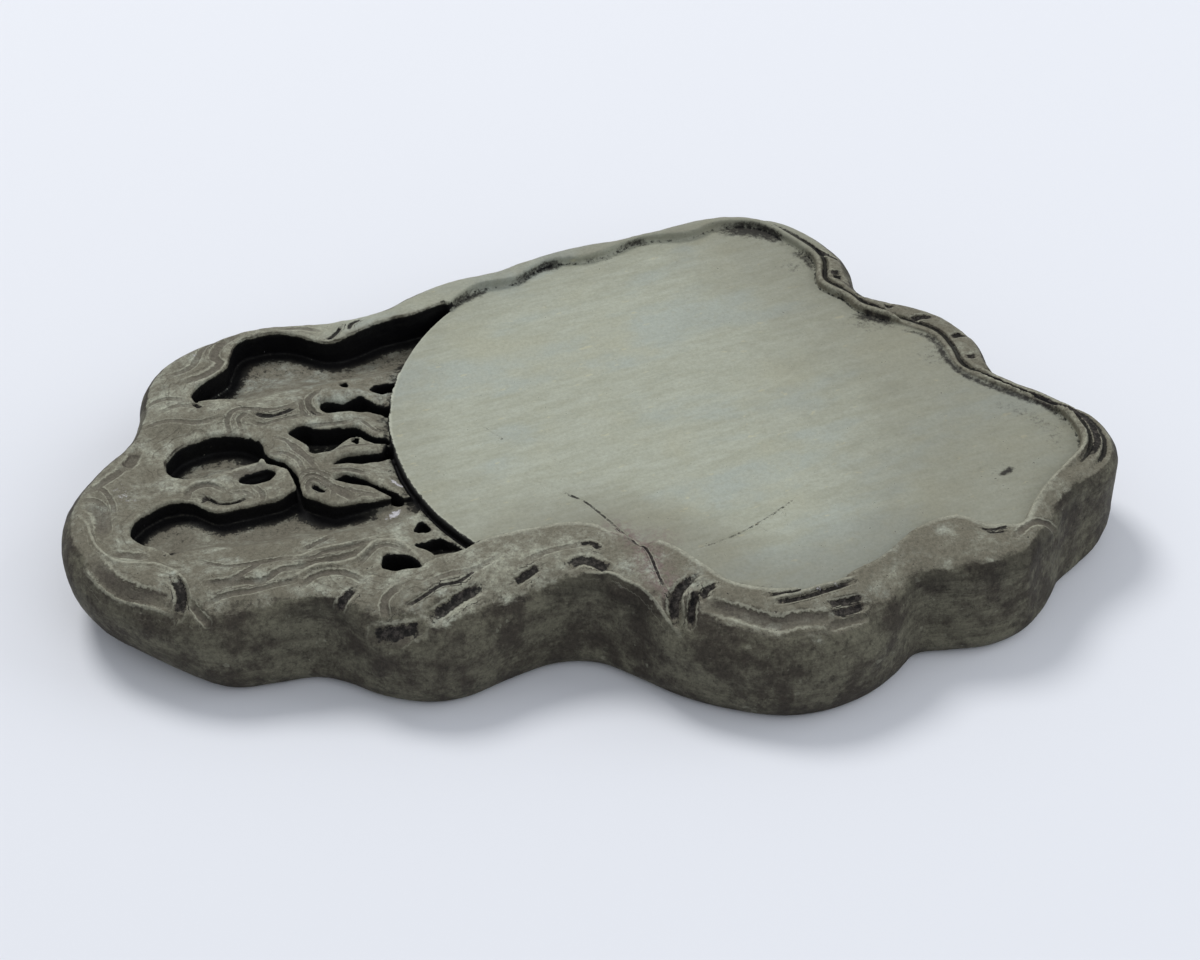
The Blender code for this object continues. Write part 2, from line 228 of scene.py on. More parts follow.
# Soft rises (positive) and falls of the top: height, half width, middle line
SWELLS = [
    (1.6, 4.6, [(-66, 33), (-70, 26), (-68.6, 19), (-65.6, 12), (-64.5, 5), (-60.5, -0.5), (-55, -3)]),
    (1.0, 3.2, [(-56, -2.6), (-51, -4), (-46.4, -5.6)]),
    (1.0, 4.0, [(-90, 38), (-80, 37.5), (-72, 34.5), (-64, 34)]),
    (1.2, 3.0, [(-60, 37), (-54, 37.6), (-48, 37), (-44, 34.4), (-41, 32)]),
    (1.2, 3.0, [(-62, 29), (-55, 28.8), (-50, 27.4), (-47.3, 24), (-45.8, 20.5), (-44.6, 18.2)]),
    (1.1, 2.6, [(-62, 14), (-57, 15.4), (-51, 15.4), (-45, 14.8)]),
    (1.1, 2.6, [(-61, 8.6), (-55, 8.2), (-51.6, 6), (-49.2, 2), (-46.4, -3)]),
    (1.0, 3.2, [(-94, -22), (-84, -24), (-74, -24), (-64, -22.6), (-54, -23), (-48.5, -24.5), (-45, -29)]),
    (0.8, 3.0, [(-52, -21.6), (-47.6, -19.6), (-45, -12), (-44.4, -7)]),
]
# Saddles worn in the rim: x, y, radius, depth below the crest
DIPS = [(4.5, -38.5, 9.0, 2.4), (-1.0, -33.5, 5.0, 1.2), (84.0, -58.5, 9.0, 1.6), (93.0, -57.0, 6.0, 1.2)]

# Carved lines: depth, half width and middle line. A groove is shallow and brown, a ridge stands
# up, a dent holds old ink, and a crack is thin and black.
GROOVES = [
    # rim beside the upper pool
    (0.7, 1.2, [(-72, 69.4), (-76.5, 66.6), (-79, 62), (-78, 59), (-80, 56.3), (-84, 54.2), (-89, 53)]),
    (0.5, 0.9, [(-76, 70), (-81, 66.4), (-83.4, 62), (-86, 58.6), (-92, 56.4)]),
    (0.5, 0.8, [(-99, 46.5), (-94, 47.6), (-89.5, 46)]),
    (0.4, 0.8, [(-96.5, 42.4), (-91, 44), (-87.4, 42.2)]),
    (0.5, 0.8, [(-60, 68.4), (-55, 67), (-51, 64.5)]),
    (0.4, 0.7, [(-101, 38), (-95, 38.6), (-88, 36), (-82, 36.4)]),
    # upper root: swirls round its eye
    (0.6, 0.7, [(-80.6, 30.6), (-80.4, 35), (-77.6, 37.6), (-73.4, 36.8), (-70, 35.9), (-66, 35.6),
                (-62, 36.6)]),
    (0.5, 0.6, [(-77.6, 32), (-77.6, 34.6), (-75.4, 35.6)]),
    (0.5, 0.6, [(-74.6, 33), (-72, 31.6), (-67, 31), (-62, 32)]),
    (1.0, 0.9, [(-56.6, 38.6), (-59.2, 37), (-59.6, 34.4), (-58.4, 32), (-57.2, 30.4)]),
    (0.6, 0.6, [(-61.4, 37), (-61.7, 33.6), (-60.2, 30.6)]),
    # main root: contour lines round its knot
    (0.6, 0.7, [(-70, 24), (-67.6, 22), (-66.4, 18), (-64.6, 14.6), (-63, 10)]),
    (0.5, 0.6, [(-71.8, 19), (-69, 17.4), (-66.8, 14), (-66.2, 10)]),
    (0.5, 0.5, [(-68.4, 22.6), (-65.6, 20), (-64.4, 16.4), (-62.4, 13.4)]),
    (0.9, 0.6, [(-67.8, 5.6), (-66, 7.4), (-64, 7.6), (-62, 6), (-60.4, 3), (-58, 0.2), (-56.6, -2.6)]),
    (0.5, 0.5, [(-68.2, 7.8), (-65.4, 9.4), (-62.6, 8.8), (-60, 6)]),
    (0.7, 0.5, [(-66.6, 2), (-66.4, 4.4), (-65.2, 5.8), (-63.4, 5.2), (-62, 3), (-60.8, 0.4),
                (-61.6, -1.4)]),
    (0.8, 0.9, [(-60.4, 0.6), (-58.6, -1.8), (-57, -3.6)]),
    (0.5, 0.5, [(-57.4, 1), (-54.8, -1.8), (-51, -3.4)]),
    (0.4, 0.4, [(-56.4, -4), (-53.6, -3.4), (-50.4, -4.6)]),
    (0.4, 0.5, [(-62, 27.6), (-57, 27), (-51, 26)]),
    (0.5, 0.5, [(-60, 8.6), (-55, 7.4), (-52, 5)]),
    (0.5, 0.5, [(-59, 15.6), (-54, 16.4), (-48, 15.4)]),
    (0.5, 0.5, [(-48.6, 26), (-46.8, 22.6), (-45.4, 20)]),
    # tongue between the middle and the lower pool
    (0.6, 0.8, [(-94.8, 9.6), (-94, 11.8), (-91.2, 13), (-88, 12.2), (-86, 9.8)]),
    (0.5, 0.7, [(-78.6, 8.6), (-77.2, 6), (-77.6, 3.6)]),
    (0.4, 0.6, [(-84, 8), (-81, 7.4), (-79.6, 5)]),
    (0.9, 2.6, [(-83, 13.6), (-78, 15.4), (-73.6, 15)]),
    # left end
    (1.0, 1.7, [(-104.4, 29.7), (-105.5, 27.5), (-107.4, 25.2)]),
    (0.6, 1.1, [(-107.4, 25.2), (-109.6, 23), (-113, 20.4), (-117, 17.6)]),
    (0.8, 1.6, [(-117.6, 11.4), (-115.9, 8), (-116, 4.2), (-116.4, 0.4)]),
    (0.5, 0.7, [(-119.4, 14.6), (-116.4, 13.8), (-114.5, 10.9), (-114.2, 6.2), (-114.6, 1)]),
    (0.5, 0.7, [(-118.2, 19), (-114.6, 18), (-113, 14.9), (-112.4, 10.9), (-112.8, 7)]),
    (0.8, 1.3, [(-114.6, -7.2), (-111.3, -8.2), (-108.4, -9.3)]),
    (0.6, 1.8, [(-119.6, -8), (-116.6, -15), (-112, -20.4), (-107, -24)]),
    (0.7, 0.8, [(-100, -27.4), (-98.8, -30), (-97.4, -32)]),
    # flowing lines of the front bank
    (0.6, 0.6, [(-96, -14.4), (-93.4, -16.6), (-90.7, -19), (-86, -20), (-81, -20)]),
    (0.7, 0.8, [(-96, -23.6), (-90.6, -24.4), (-85, -22.2), (-82, -20.4), (-76, -20.6)]),
    (0.9, 0.9, [(-72, -18.2), (-68.6, -16.6), (-65.2, -15.4)]),
    (0.6, 0.6, [(-74.4, -22.4), (-70.8, -22.6), (-67.6, -21.8), (-62, -22), (-56.4, -21.4)]),
    (0.9, 0.9, [(-94.4, -25.4), (-88, -25.4), (-82.9, -26.4), (-78.6, -24.6), (-74, -25), (-70, -24.4),
                (-63, -24.4), (-58.6, -23.6)]),
    (0.5, 0.7, [(-97.4, -28.8), (-92.2, -27.8), (-86, -28.4), (-80, -28.6), (-75.4, -29)]),
    (0.9, 1.0, [(-74.8, -31), (-71.3, -28.6), (-67.3, -28.5), (-63.6, -30.2), (-61.2, -33.4)]),
    (0.7, 1.0, [(-58.4, -44.4), (-58, -41.7), (-56.2, -39.8), (-53.9, -38.9)]),
    (0.5, 0.6, [(-60.6, -27.8), (-57.4, -25.2), (-55, -23.6), (-52, -23.8), (-49.4, -26)]),
    # front rim
    (0.4, 0.9, [(-24.6, -39.6), (-18.4, -38), (-12.6, -37.8), (-8, -38.6)]),
    (0.4, 0.8, [(-48, -40.4), (-42, -38.8), (-36, -38.8), (-29, -36)]),
    (0.6, 1.0, [(-60, -50), (-54, -49.6)]),
    (0.5, 0.8, [(37, -77.4), (46, -76.4)]),
    (0.7, 1.5, [(12.4, -64.4), (17.2, -67.6), (20.9, -70.6), (26.2, -74), (30, -74.4), (39, -76)]),
    (0.7, 0.9, [(88.9, -64), (93.7, -61), (98.3, -60.2), (101.7, -61)]),
    (0.5, 0.5, [(69.2, -53), (72.3, -52), (75, -52.4)]),
]
RIDGES = [
    (0.35, 0.6, [(-95.8, 10.4), (-95.2, 12.8), (-91.6, 14.4), (-88, 13.4), (-85.6, 11)]),
    (0.5, 0.6, [(-121, 9.6), (-119.2, 5), (-119, 1), (-118, -4.5), (-114.4, -10.2), (-109.5, -11.8),
                (-105.6, -13), (-102, -17.4), (-100.2, -22.6), (-100.2, -27)]),
    (0.45, 0.6, [(-122, -8.8), (-119.8, -14), (-116.6, -18.6), (-113, -22), (-108.8, -25.2),
                 (-105, -28.2)]),
    (0.5, 0.5, [(-76.4, -19.8), (-73.2, -21.4), (-69.6, -20.3), (-64.7, -20.6), (-60.7, -20.8),
                (-57, -20.4), (-52, -19.6)]),
    (0.5, 0.6, [(-79.2, -27.6), (-75.3, -27.4), (-70.7, -25.9), (-65.1, -26.2), (-60.6, -25.6),
                (-57.2, -23.4), (-55, -21.8), (-51.9, -21.8), (-49.7, -23.2), (-47.4, -27.6),
                (-45.8, -32)]),
    (0.5, 0.6, [(-11.4, -46.6), (-6, -49), (-3, -52.6), (0, -57), (3, -63.4), (5, -66.8)]),
    (0.5, 0.5, [(6.8, -64), (7.6, -60.6), (10.4, -58), (14.6, -57)]),
    (0.5, 0.6, [(26, -68), (32, -68.5), (38.5, -67.9), (46.8, -67)]),
    (0.5, 0.7, [(104.6, 2), (107.6, -4), (113, -11.4), (119.4, -19), (121.8, -26), (121.8, -33),
                (118.6, -39), (110.4, -45), (102, -51), (95, -57)]),
]
DENTS = [
    (1.0, 0.7, [(-87.4, 44), (-86, 41.4)]),
    (0.9, 0.7, [(-49.5, 60.8), (-47.4, 61.6), (-45.4, 63)]),
    (0.9, 0.7, [(-43.4, 61.2), (-42.6, 63), (-39.6, 64.4)]),
    (1.0, 0.7, [(-73.4, 35.2), (-71, 34.1), (-67, 33.4), (-63.4, 34.6)]),
    (2.2, 0.8, [(-65.2, 4), (-64, 2.4), (-62.8, 0.8)]),
    # left end and front bank
    (1.0, 1.4, [(-102.8, -19.8), (-101.8, -22.7), (-102, -25.7), (-103.3, -28)]),
    (0.8, 1.2, [(-68, -38.8), (-65.9, -37.2), (-63.7, -35.8)]),
    # front rim, left part
    (1.2, 1.3, [(-48.4, -48.2), (-44.2, -46.6), (-39.3, -44.6), (-35.4, -43.4)]),
    (0.8, 1.5, [(-62, -46.8), (-58.3, -47.8), (-55.4, -48.4), (-51.6, -49.4)]),
    (1.0, 1.1, [(-27.6, -43.8), (-24.7, -42.7), (-21.2, -41.8)]),
    (0.9, 0.9, [(-10.2, -37.7), (-7.4, -38.3), (-6.2, -40.6)]),
    (1.2, 1.5, [(-14.6, -43.4), (-11.2, -42.8), (-8.6, -44.4), (-6, -47.4)]),
    (0.7, 0.5, [(-53, -44.4), (-48.4, -43), (-44.7, -41.6), (-40.3, -41.4), (-35.6, -38.8)]),
    # front rim, right part
    (1.5, 1.4, [(4.8, -64), (5.6, -60.6), (8.2, -57.9), (11.6, -56.2)]),
    (1.3, 1.0, [(7.8, -66), (9.2, -62.6), (11, -60)]),
    (1.1, 0.9, [(11.8, -62.3), (13.6, -60.4), (15.6, -60.2)]),
    (1.0, 0.7, [(25.5, -66.6), (31.8, -67.3), (36, -66.8), (41, -66.4), (47, -66)]),
    (0.9, 0.7, [(27.2, -69.4), (34.2, -69.7), (40, -69), (46.4, -68.2)]),
    (0.8, 0.8, [(38.6, -72.6), (42.7, -72.6), (46.6, -72.4)]),
    (0.7, 0.9, [(38.8, -75), (42.8, -74.8), (46.6, -74.2)]),
    (0.6, 0.5, [(82.4, -58.6), (86, -60), (88.4, -60.4)]),
    (0.6, 0.5, [(83.4, -60.6), (87, -62)]),
    # right rim
    (1.0, 1.0, [(86, 46.6), (88, 46.2)]),
    (0.9, 0.8, [(86, 48.6), (88, 48.4)]),
    (1.2, 1.0, [(89.8, 37.4), (91.8, 36)]),
    (1.2, 1.0, [(95.2, 32), (97.2, 31.6)]),
    (1.4, 1.1, [(99.6, 24.2), (102.6, 24.8), (105, 23.8)]),
    (1.3, 1.1, [(106.8, 14), (108.6, 14.8), (110, 14)]),
    (1.1, 1.0, [(107, 5), (109, 5)]),
    (0.8, 0.7, [(85.6, 61), (87.6, 57), (90.6, 54.4)]),
    (1.0, 1.1, [(107.4, -1.6), (110, -5.6), (114, -11), (118.6, -17), (122.8, -24), (124.4, -31),
                (122.6, -38), (118, -43.4)]),
]
CRACKS = [
    (1.3, 0.55, [(-92, 9), (-90.4, 8.4), (-89.2, 7.2), (-88, 5.9), (-86, 5), (-83.6, 4.9), (-80.9, 5.4)]),
    (1.0, 0.45, [(-91.6, 7), (-90.6, 7.7), (-89.8, 8.2)]),
    (0.6, 0.4, [(-9.8, -13.2), (-6.4, -17.6), (-3.6, -21.2), (-0.8, -28), (1, -33), (2.6, -38),
                (4.3, -45.3), (4, -53.7), (4.6, -59)]),
    (0.45, 0.35, [(14.4, -45), (21.1, -44), (29, -42), (39, -37.6), (47, -33)]),
    (0.35, 0.3, [(-20, 14.6), (-17.6, 10), (-15.6, 6.6)]),
]
# Kinds of line: the lines, their sign, and how far they tint, ink and lighten the stone with painted
# highlight
KINDS = [
    (GROOVES, 1.0, (1.0, 0.0, 0.0)),
    (RIDGES, -1.0, (0.0, 0.0, 1.0)),
    (DENTS, 1.0, (0.6, 1.0, 0.0)),
    (CRACKS, 1.0, (0.0, 1.0, 0.0)),
]


# ---------------------------------------------------------------- curves and distances


def spline(points, steps, closed=False):
    """Catmull-Rom curve through points of any number of coordinates, as an array."""
    p = np.array(points, float)
    count = len(p)
    spans = count if closed else count - 1
    t = (np.arange(steps) / steps)[:, None]
    parts = []
    for i in range(spans):
        picks = [i - 1, i, i + 1, i + 2]
        picks = [k % count if closed else min(max(k, 0), count - 1) for k in picks]
        a, b, c, d = p[picks]
        parts.append(0.5 * (2 * b + (c - a) * t + (2 * a - 5 * b + 4 * c - d) * t**2
                            + (3 * b - a - 3 * c + d) * t**3))
    if not closed:
        parts.append(p[-1:])
    return np.concatenate(parts)


def smooth(low, high, value):
    """0 at low, 1 at high, with no kink at either."""
    t = np.clip((value - low) / (high - low), 0.0, 1.0)
    return t * t * (3.0 - 2.0 * t)


def to_path(x, y, path):
    """Signed distance to an open path, positive on its left, and the share of the path up to there."""
    steps = np.hypot(*np.diff(path, axis=0).T)
    reached = np.concatenate([[0.0], np.cumsum(steps)])
    best = np.full(x.shape, 1e9)
    along = np.zeros(x.shape)
    left = np.zeros(x.shape, bool)
    for (ax, ay), (bx, by), start, length in zip(path, path[1:], reached, steps):
        if length < 1e-9:
            continue
        ux, uy = (bx - ax) / length, (by - ay) / length
        t = np.clip((x - ax) * ux + (y - ay) * uy, 0.0, length)
        gap = (x - ax - ux * t) ** 2 + (y - ay - uy * t) ** 2
        near = gap < best
        best = np.where(near, gap, best)
        along = np.where(near, start + t, along)
        left = np.where(near, (y - ay) * ux > (x - ax) * uy, left)
    return np.where(left, 1.0, -1.0) * np.sqrt(best), along / reached[-1]


def inside(x, y, ring):
    """True inside a closed ring of points."""
    odd = np.zeros(x.shape, bool)
    for (ax, ay), (bx, by) in zip(ring, np.roll(ring, -1, axis=0)):
        if ay != by:
            crosses = (ay > y) != (by > y)
            odd ^= crosses & (x < (bx - ax) * (y - ay) / (by - ay) + ax)
    return odd


def to_ring(x, y, ring):
    """Signed distance to a closed ring: negative inside."""
    gap, _ = to_path(x, y, np.concatenate([ring, ring[:1]]))
    return np.where(inside(x, y, ring), -np.abs(gap), np.abs(gap))


def from_disc(x, y):
    """Distance outside the hall's compass-cut edge."""
    return np.hypot(x - DISC_CENTRE[0], y - DISC_CENTRE[1]) - DISC_RADIUS


def disc_arc(first, last, count):
    """Points of the compass-cut edge between two points, about the disc's centre."""
    def bearing(point):
        return math.atan2(point[1] - DISC_CENTRE[1], point[0] - DISC_CENTRE[0]) % math.tau

    turns = np.linspace(bearing(first), bearing(last), count)
    return np.array(DISC_CENTRE) + DISC_RADIUS * np.c_[np.cos(turns), np.sin(turns)]


# ---------------------------------------------------------------- the grid


class Grid:
    """The block's box, sampled every GRID millimetres."""

    margin = 3.0

    def __init__(self, outline):
        low = outline.min(0) - self.margin
        high = outline.max(0) + self.margin
        self.low = np.array([low[0], low[1], -2.0 * GRID - OFF_LAYER])
        size = np.array([high[0], high[1], CREST + HEADROOM]) - self.low
        self.count = np.ceil(size / GRID).astype(int) + 1
        self.xs, self.ys, self.zs = (self.low[a] + GRID * np.arange(self.count[a]) for a in range(3))
        self.x, self.y = np.meshgrid(self.xs, self.ys, indexing="ij")

    def window(self, points, reach):
        """Slices of the cells within reach of some points."""
        low = ((points[:, :2].min(0) - reach - self.low[:2]) / GRID).astype(int)
        high = ((points[:, :2].max(0) + reach - self.low[:2]) / GRID).astype(int) + 2
        low = np.clip(low, 0, self.count[:2])
        high = np.clip(high, 0, self.count[:2])
        return slice(low[0], high[0]), slice(low[1], high[1])


def ramp_matrix(places, knots):
    """Weights that read smooth values at places from values at evenly spaced knots 0, 1, 2..."""
    whole = np.clip(np.floor(places).astype(int), 0, knots - 2)
    part = places - whole
    part = part * part * (3.0 - 2.0 * part)
    weights = np.zeros((len(places), knots))
    weights[np.arange(len(places)), whole] = 1.0 - part
    weights[np.arange(len(places)), whole + 1] += part
    return weights


def soft_noise(grid, size, random, flat=False):
    """Value noise over the grid with features of a given size, between -1 and 1."""
    axes = []
    for places in ((grid.xs, grid.ys) if flat else (grid.xs, grid.ys, grid.zs)):
        axes.append((places - places[0]) / size)
    knots = [int(a[-1]) + 3 for a in axes]
    values = random.uniform(-1.0, 1.0, knots)
    mats = [ramp_matrix(a, k) for a, k in zip(axes, knots)]
    if flat:
        return mats[0] @ values @ mats[1].T
    return np.einsum("ia,jb,kc,abc->ijk", *mats, values, optimize=True).astype(np.float32)


def soft_max(a, b, radius):
    """The larger of two fields, rounded where they cross."""
    h = np.clip(0.5 + 0.5 * (a - b) / radius, 0.0, 1.0)
    return a * h + b * (1.0 - h) + radius * h * (1.0 - h)


# ---------------------------------------------------------------- the carving


def ends(along):
    """1 along most of a line, falling away at both ends."""
    return np.clip(np.sin(np.pi * np.clip(along, 0.02, 0.98)) * 1.8, 0.0, 1.0) ** 0.5


def cut_map(grid):
    """Depth of the carved lines, each deepest on its middle; ridges are negative."""
    cut = np.zeros(grid.x.shape)
    for lines, sign, _ in KINDS:
        for depth, half, points in lines:
            path = spline(points, 6)
            window = grid.window(path, 2.2 * half + 1.0)
            gap, along = to_path(grid.x[window], grid.y[window], path)
            mark = sign * depth * ends(along) * np.exp(-((gap / half) ** 2))
            part = cut[window]
            cut[window] = np.where(np.abs(mark) > np.abs(part), mark, part)
    return cut


def line_marks(points):
    """Each point's place across the nearest carved line, in half widths, and that line's strengths."""
    across = np.full(len(points), 2.0)
    marks = np.zeros((3, len(points)))
    for lines, _, strengths in KINDS:
        for depth, half, route in lines:
            path = spline(route, 6)
            reach = 2.0 * half
            near = (points > path.min(0) - reach) & (points < path.max(0) + reach)
            near = np.flatnonzero(near.all(1))
            gap, along = to_path(*points[near].T, path)
            closer = np.abs(gap / half) < np.abs(across[near])
            picked = near[closer]
            across[picked] = (gap / half)[closer]
            marks[:, picked] = np.outer(strengths, ends(along[closer]) * min(1.0, depth / FULL_DEPTH))
    return across, marks


def bay_map(grid):
    """1 in the bays of the front, 0 away from them."""
    bay = np.zeros(grid.x.shape)
    for x, y, radius in BAYS:
        bay = np.maximum(bay, np.exp(-((grid.x - x) ** 2 + (grid.y - y) ** 2) / radius**2))
    return bay


def shoulder_width(grid, bay):
    """0 where the shoulder is narrow, 1 where it is wide."""
    wide = smooth(15.0, -25.0, grid.y) * smooth(116.0, 98.0, grid.x)
    wide = np.maximum(wide, 0.35 * smooth(-96.0, -116.0, grid.x))
    wide = wide * (1.0 - 0.5 * smooth(-90.0, -112.0, grid.x))
    return wide * (1.0 - 0.85 * bay)


def block_field(grid, reach, wide, left, bay):
    """Distance field of the uncarved block, from the distance inside its outline."""
    rim = (RIM[0] + (RIM[1] - RIM[0]) * wide) * (1.0 - BAY_NARROWING * bay)
    fall = (SHOULDER[0] + (SHOULDER[1] - SHOULDER[0]) * wide) * (1.0 - BAY_NARROWING * bay)
    crest = CREST - (CREST - CREST_LEFT) * smooth(-55.0, -95.0, grid.x)
    tuck = FOOT_TUCK + (FOOT_TUCK_LEFT - FOOT_TUCK) * left
    foot = FOOT_HEIGHT + (FOOT_HEIGHT_LEFT - FOOT_HEIGHT) * left
    field = np.empty(grid.count, np.float32)
    for k, z in enumerate(grid.zs):
        leaning = reach - BAY_LEAN * bay * z / CREST
        high = rounded(rim, leaning, fall, z - (crest - fall), SHOULDER_POWER)
        low = rounded(tuck, reach, foot, foot - z, FOOT_POWER)
        field[:, :, k] = np.maximum(high, low)
    return field


def rounded(width, reach, height, rise, power):
    """Field of a corner rounded as a superellipse of a given width and height."""
    u = np.maximum((width - reach) / width, 0.0)
    v = np.maximum(rise / height, 0.0)
    n = (u**power + v**power) ** (1.0 / power) + 1e-6
    slope = np.hypot((u / n) ** (power - 1.0) / width, (v / n) ** (power - 1.0) / height)
    return (n - 1.0) / np.maximum(slope, 1e-3)


def hollow_floor(x, y, hollow):
    """Height of a hollow's floor, level or sloping from its deep to its shallow line."""
    low, high = hollow["heights"]
    if "deep" not in hollow:
        return np.full(x.shape, float(low))
    deep_y = np.interp(x, *np.array(hollow["deep"], float).T)
    shallow_y = np.interp(x, *np.array(hollow["shallow"], float).T)
    share = smooth(0.0, 1.0, (deep_y - y) / (deep_y - shallow_y))
    start, stop, rise = hollow.get("climb", (-1.0, 1.0, 0.0))
    low = low + rise * smooth(start, stop, x)
    return low + (high - low) * share


def cut_hollow(field, grid, gap, base, undercut, soft):
    """Takes a hollow out of the field, given the flat distance to its lip and its floor's height."""
    depth = np.clip((CREST - grid.zs) / UNDERCUT_DEPTH, 0.0, 1.0)
    walls = gap[:, :, None] - undercut * depth
    hollow = np.maximum(walls, base[:, :, None] - grid.zs)
    return soft_max(field, -hollow, soft).astype(np.float32)


def swell_map(grid):
    """Height that the soft rises add to the top."""
    swell = np.zeros(grid.x.shape)
    for height, half, points in SWELLS:
        path = spline(points, 6)
        window = grid.window(path, 3.0 * half)
        gap, _ = to_path(grid.x[window], grid.y[window], path)
        swell[window] = np.maximum(swell[window], height * np.exp(-((gap / half) ** 2)))
    return swell


def top_map(grid, swell):
    """Height of the top before it is hollowed: low round the pools, free over the rim."""
    x, y = grid.x, grid.y
    among_roots = smooth(-22.0, -10.0, y) * smooth(40.0, 30.0, y) * smooth(-118.0, -104.0, x)
    level = ROOT_TOP - ROOT_DROP * among_roots * smooth(-34.0, -42.0, x)
    top = level + OUT_OF_THE_WAY * smooth(-62.0, -34.0, x) * smooth(-18.0, -34.0, y)
    top = top + OUT_OF_THE_WAY * smooth(-50.0, -34.0, x) * smooth(40.0, 60.0, y) + swell
    top = top + OUT_OF_THE_WAY * smooth(2.0, -2.0, from_disc(x, y))
    for dip_x, dip_y, radius, depth in DIPS:
        near = np.exp(-((x - dip_x) ** 2 + (y - dip_y) ** 2) / radius**2)
        top = top * (1.0 - near) + (CREST - depth) * near
    return top


def rim_grooves(grid, edge):
    """Grooves that run round the hall outside its edge, which leave cords standing between them."""
    sway = 0.5 * np.sin(grid.x / 9.0) * np.cos(grid.y / 7.0)
    right = smooth(72.0, 86.0, grid.x) * smooth(-50.0, -40.0, grid.y)
    far_right = smooth(98.0, 106.0, grid.x) * smooth(6.0, -4.0, grid.y) * smooth(-50.0, -42.0, grid.y)
    back = smooth(56.0, 64.0, grid.y) * (0.5 + 0.5 * np.sin(grid.x / 6.0 + 1.0))

    def groove(name, share, drift):
        depth, place, half = CORD_GROOVES[name]
        return depth * share * np.exp(-(((edge - place - drift) / half) ** 2))

    cuts = np.maximum(groove("near", right, 0.6 * sway), groove("far", far_right, sway))
    return np.maximum(cuts, groove("back", back, sway))


def highest(grid, field):
    """Height of the top of a field, column by column."""
    solid = field < 0.0
    top = solid.shape[2] - 1 - np.argmax(solid[:, :, ::-1], axis=2)
    return np.where(solid.any(2), grid.zs[top], 0.0)


def carve(grid, field, pit, hollow, ragged, beyond):
    """Takes one of the hollows out of the field, and adds it to the map of all hollows."""
    ring = spline(hollow["lip"], 4, closed=True)
    window = grid.window(ring, 6.0)
    x, y = grid.x[window], grid.y[window]
    gap = np.maximum(to_ring(x, y, ring) + ragged[window], -beyond[window])
    base = hollow_floor(x, y, hollow)
    undercut = hollow.get("undercut", 0.3)
    field[window] = cut_hollow(field[window], grid, gap, base, undercut, hollow["soft"])
    pit[window] = np.minimum(pit[window], gap)


def stone_field(grid, outline):
    """The whole carving as a distance field, with the flat maps that the colours need."""
    random = np.random.default_rng(SEED)
    reach = -to_ring(grid.x, grid.y, outline)
    left = smooth(-88.0, -116.0, grid.x)
    bay = bay_map(grid)
    field = block_field(grid, reach, shoulder_width(grid, bay), left, bay)

    swell = swell_map(grid)
    top = top_map(grid, swell) + TOP_WAVES[0] * soft_noise(grid, TOP_WAVES[1], random, flat=True)
    slope = np.hypot(*np.gradient(top, GRID))
    lean = (1.0 / np.sqrt(1.0 + slope**2))[:, :, None]
    field = soft_max(field, ((grid.zs - top[:, :, None]) * lean).astype(np.float32), 1.2)
    surface = highest(grid, field)

    ragged = LIP_WAVES[0] * soft_noise(grid, LIP_WAVES[1], random, flat=True)
    beyond = from_disc(grid.x, grid.y)
    arc = disc_arc(HALL_EDGE[-1], HALL_EDGE[0], 60)[1:-1]
    hall = to_ring(grid.x, grid.y, np.concatenate([spline(HALL_EDGE, 5), arc]))
    edge = hall + 0.5 * ragged * smooth(-0.5, 0.5, np.abs(beyond))
    field = cut_hollow(field, grid, edge, np.full(hall.shape, HALL), -0.5, 0.45)

    moat = np.maximum(to_ring(grid.x, grid.y, spline(MOAT_EDGE, 5, closed=True)), -beyond)
    base = MOAT_AT_DISC + MOAT_SLOPE * np.maximum(beyond, 0.0) + swell
    base = base - TRENCH_DEPTH * smooth(1.2, 0.6, beyond) * smooth(24.0, 6.0, grid.y)
    field = cut_hollow(field, grid, moat, base, 0.2, 0.4)
    pit = moat.copy()
    for hollow in HOLLOWS.values():
        carve(grid, field, pit, hollow, ragged, beyond)

    grooves = rim_grooves(grid, hall)
    cuts = cut_map(grid)
    cuts = np.where(grooves > np.abs(cuts), grooves, cuts)
    height = grid.zs - surface[:, :, None]
    skin = smooth(-3.5, -2.0, height) * smooth(LOWEST_CUT, LOWEST_CUT + 3.0, grid.zs)
    field += (cuts[:, :, None] * skin).astype(np.float32)
    waves = sum(rise * soft_noise(grid, size, random) for rise, size in SKIN_WAVES)
    rough = smooth(-1.5, 1.5, hall)
    field += waves * (rough[:, :, None] * smooth(0.0, 4.0, grid.zs)).astype(np.float32)
    maps = {
        "reach": reach, "hall": hall, "grooves": grooves, "pit": pit, "beyond": beyond,
        "surface": surface, "bay": bay, "stain": paint_spots(grid, STAINS), "cuts": cuts,
    }
    return field, maps


# ---------------------------------------------------------------- from field to mesh


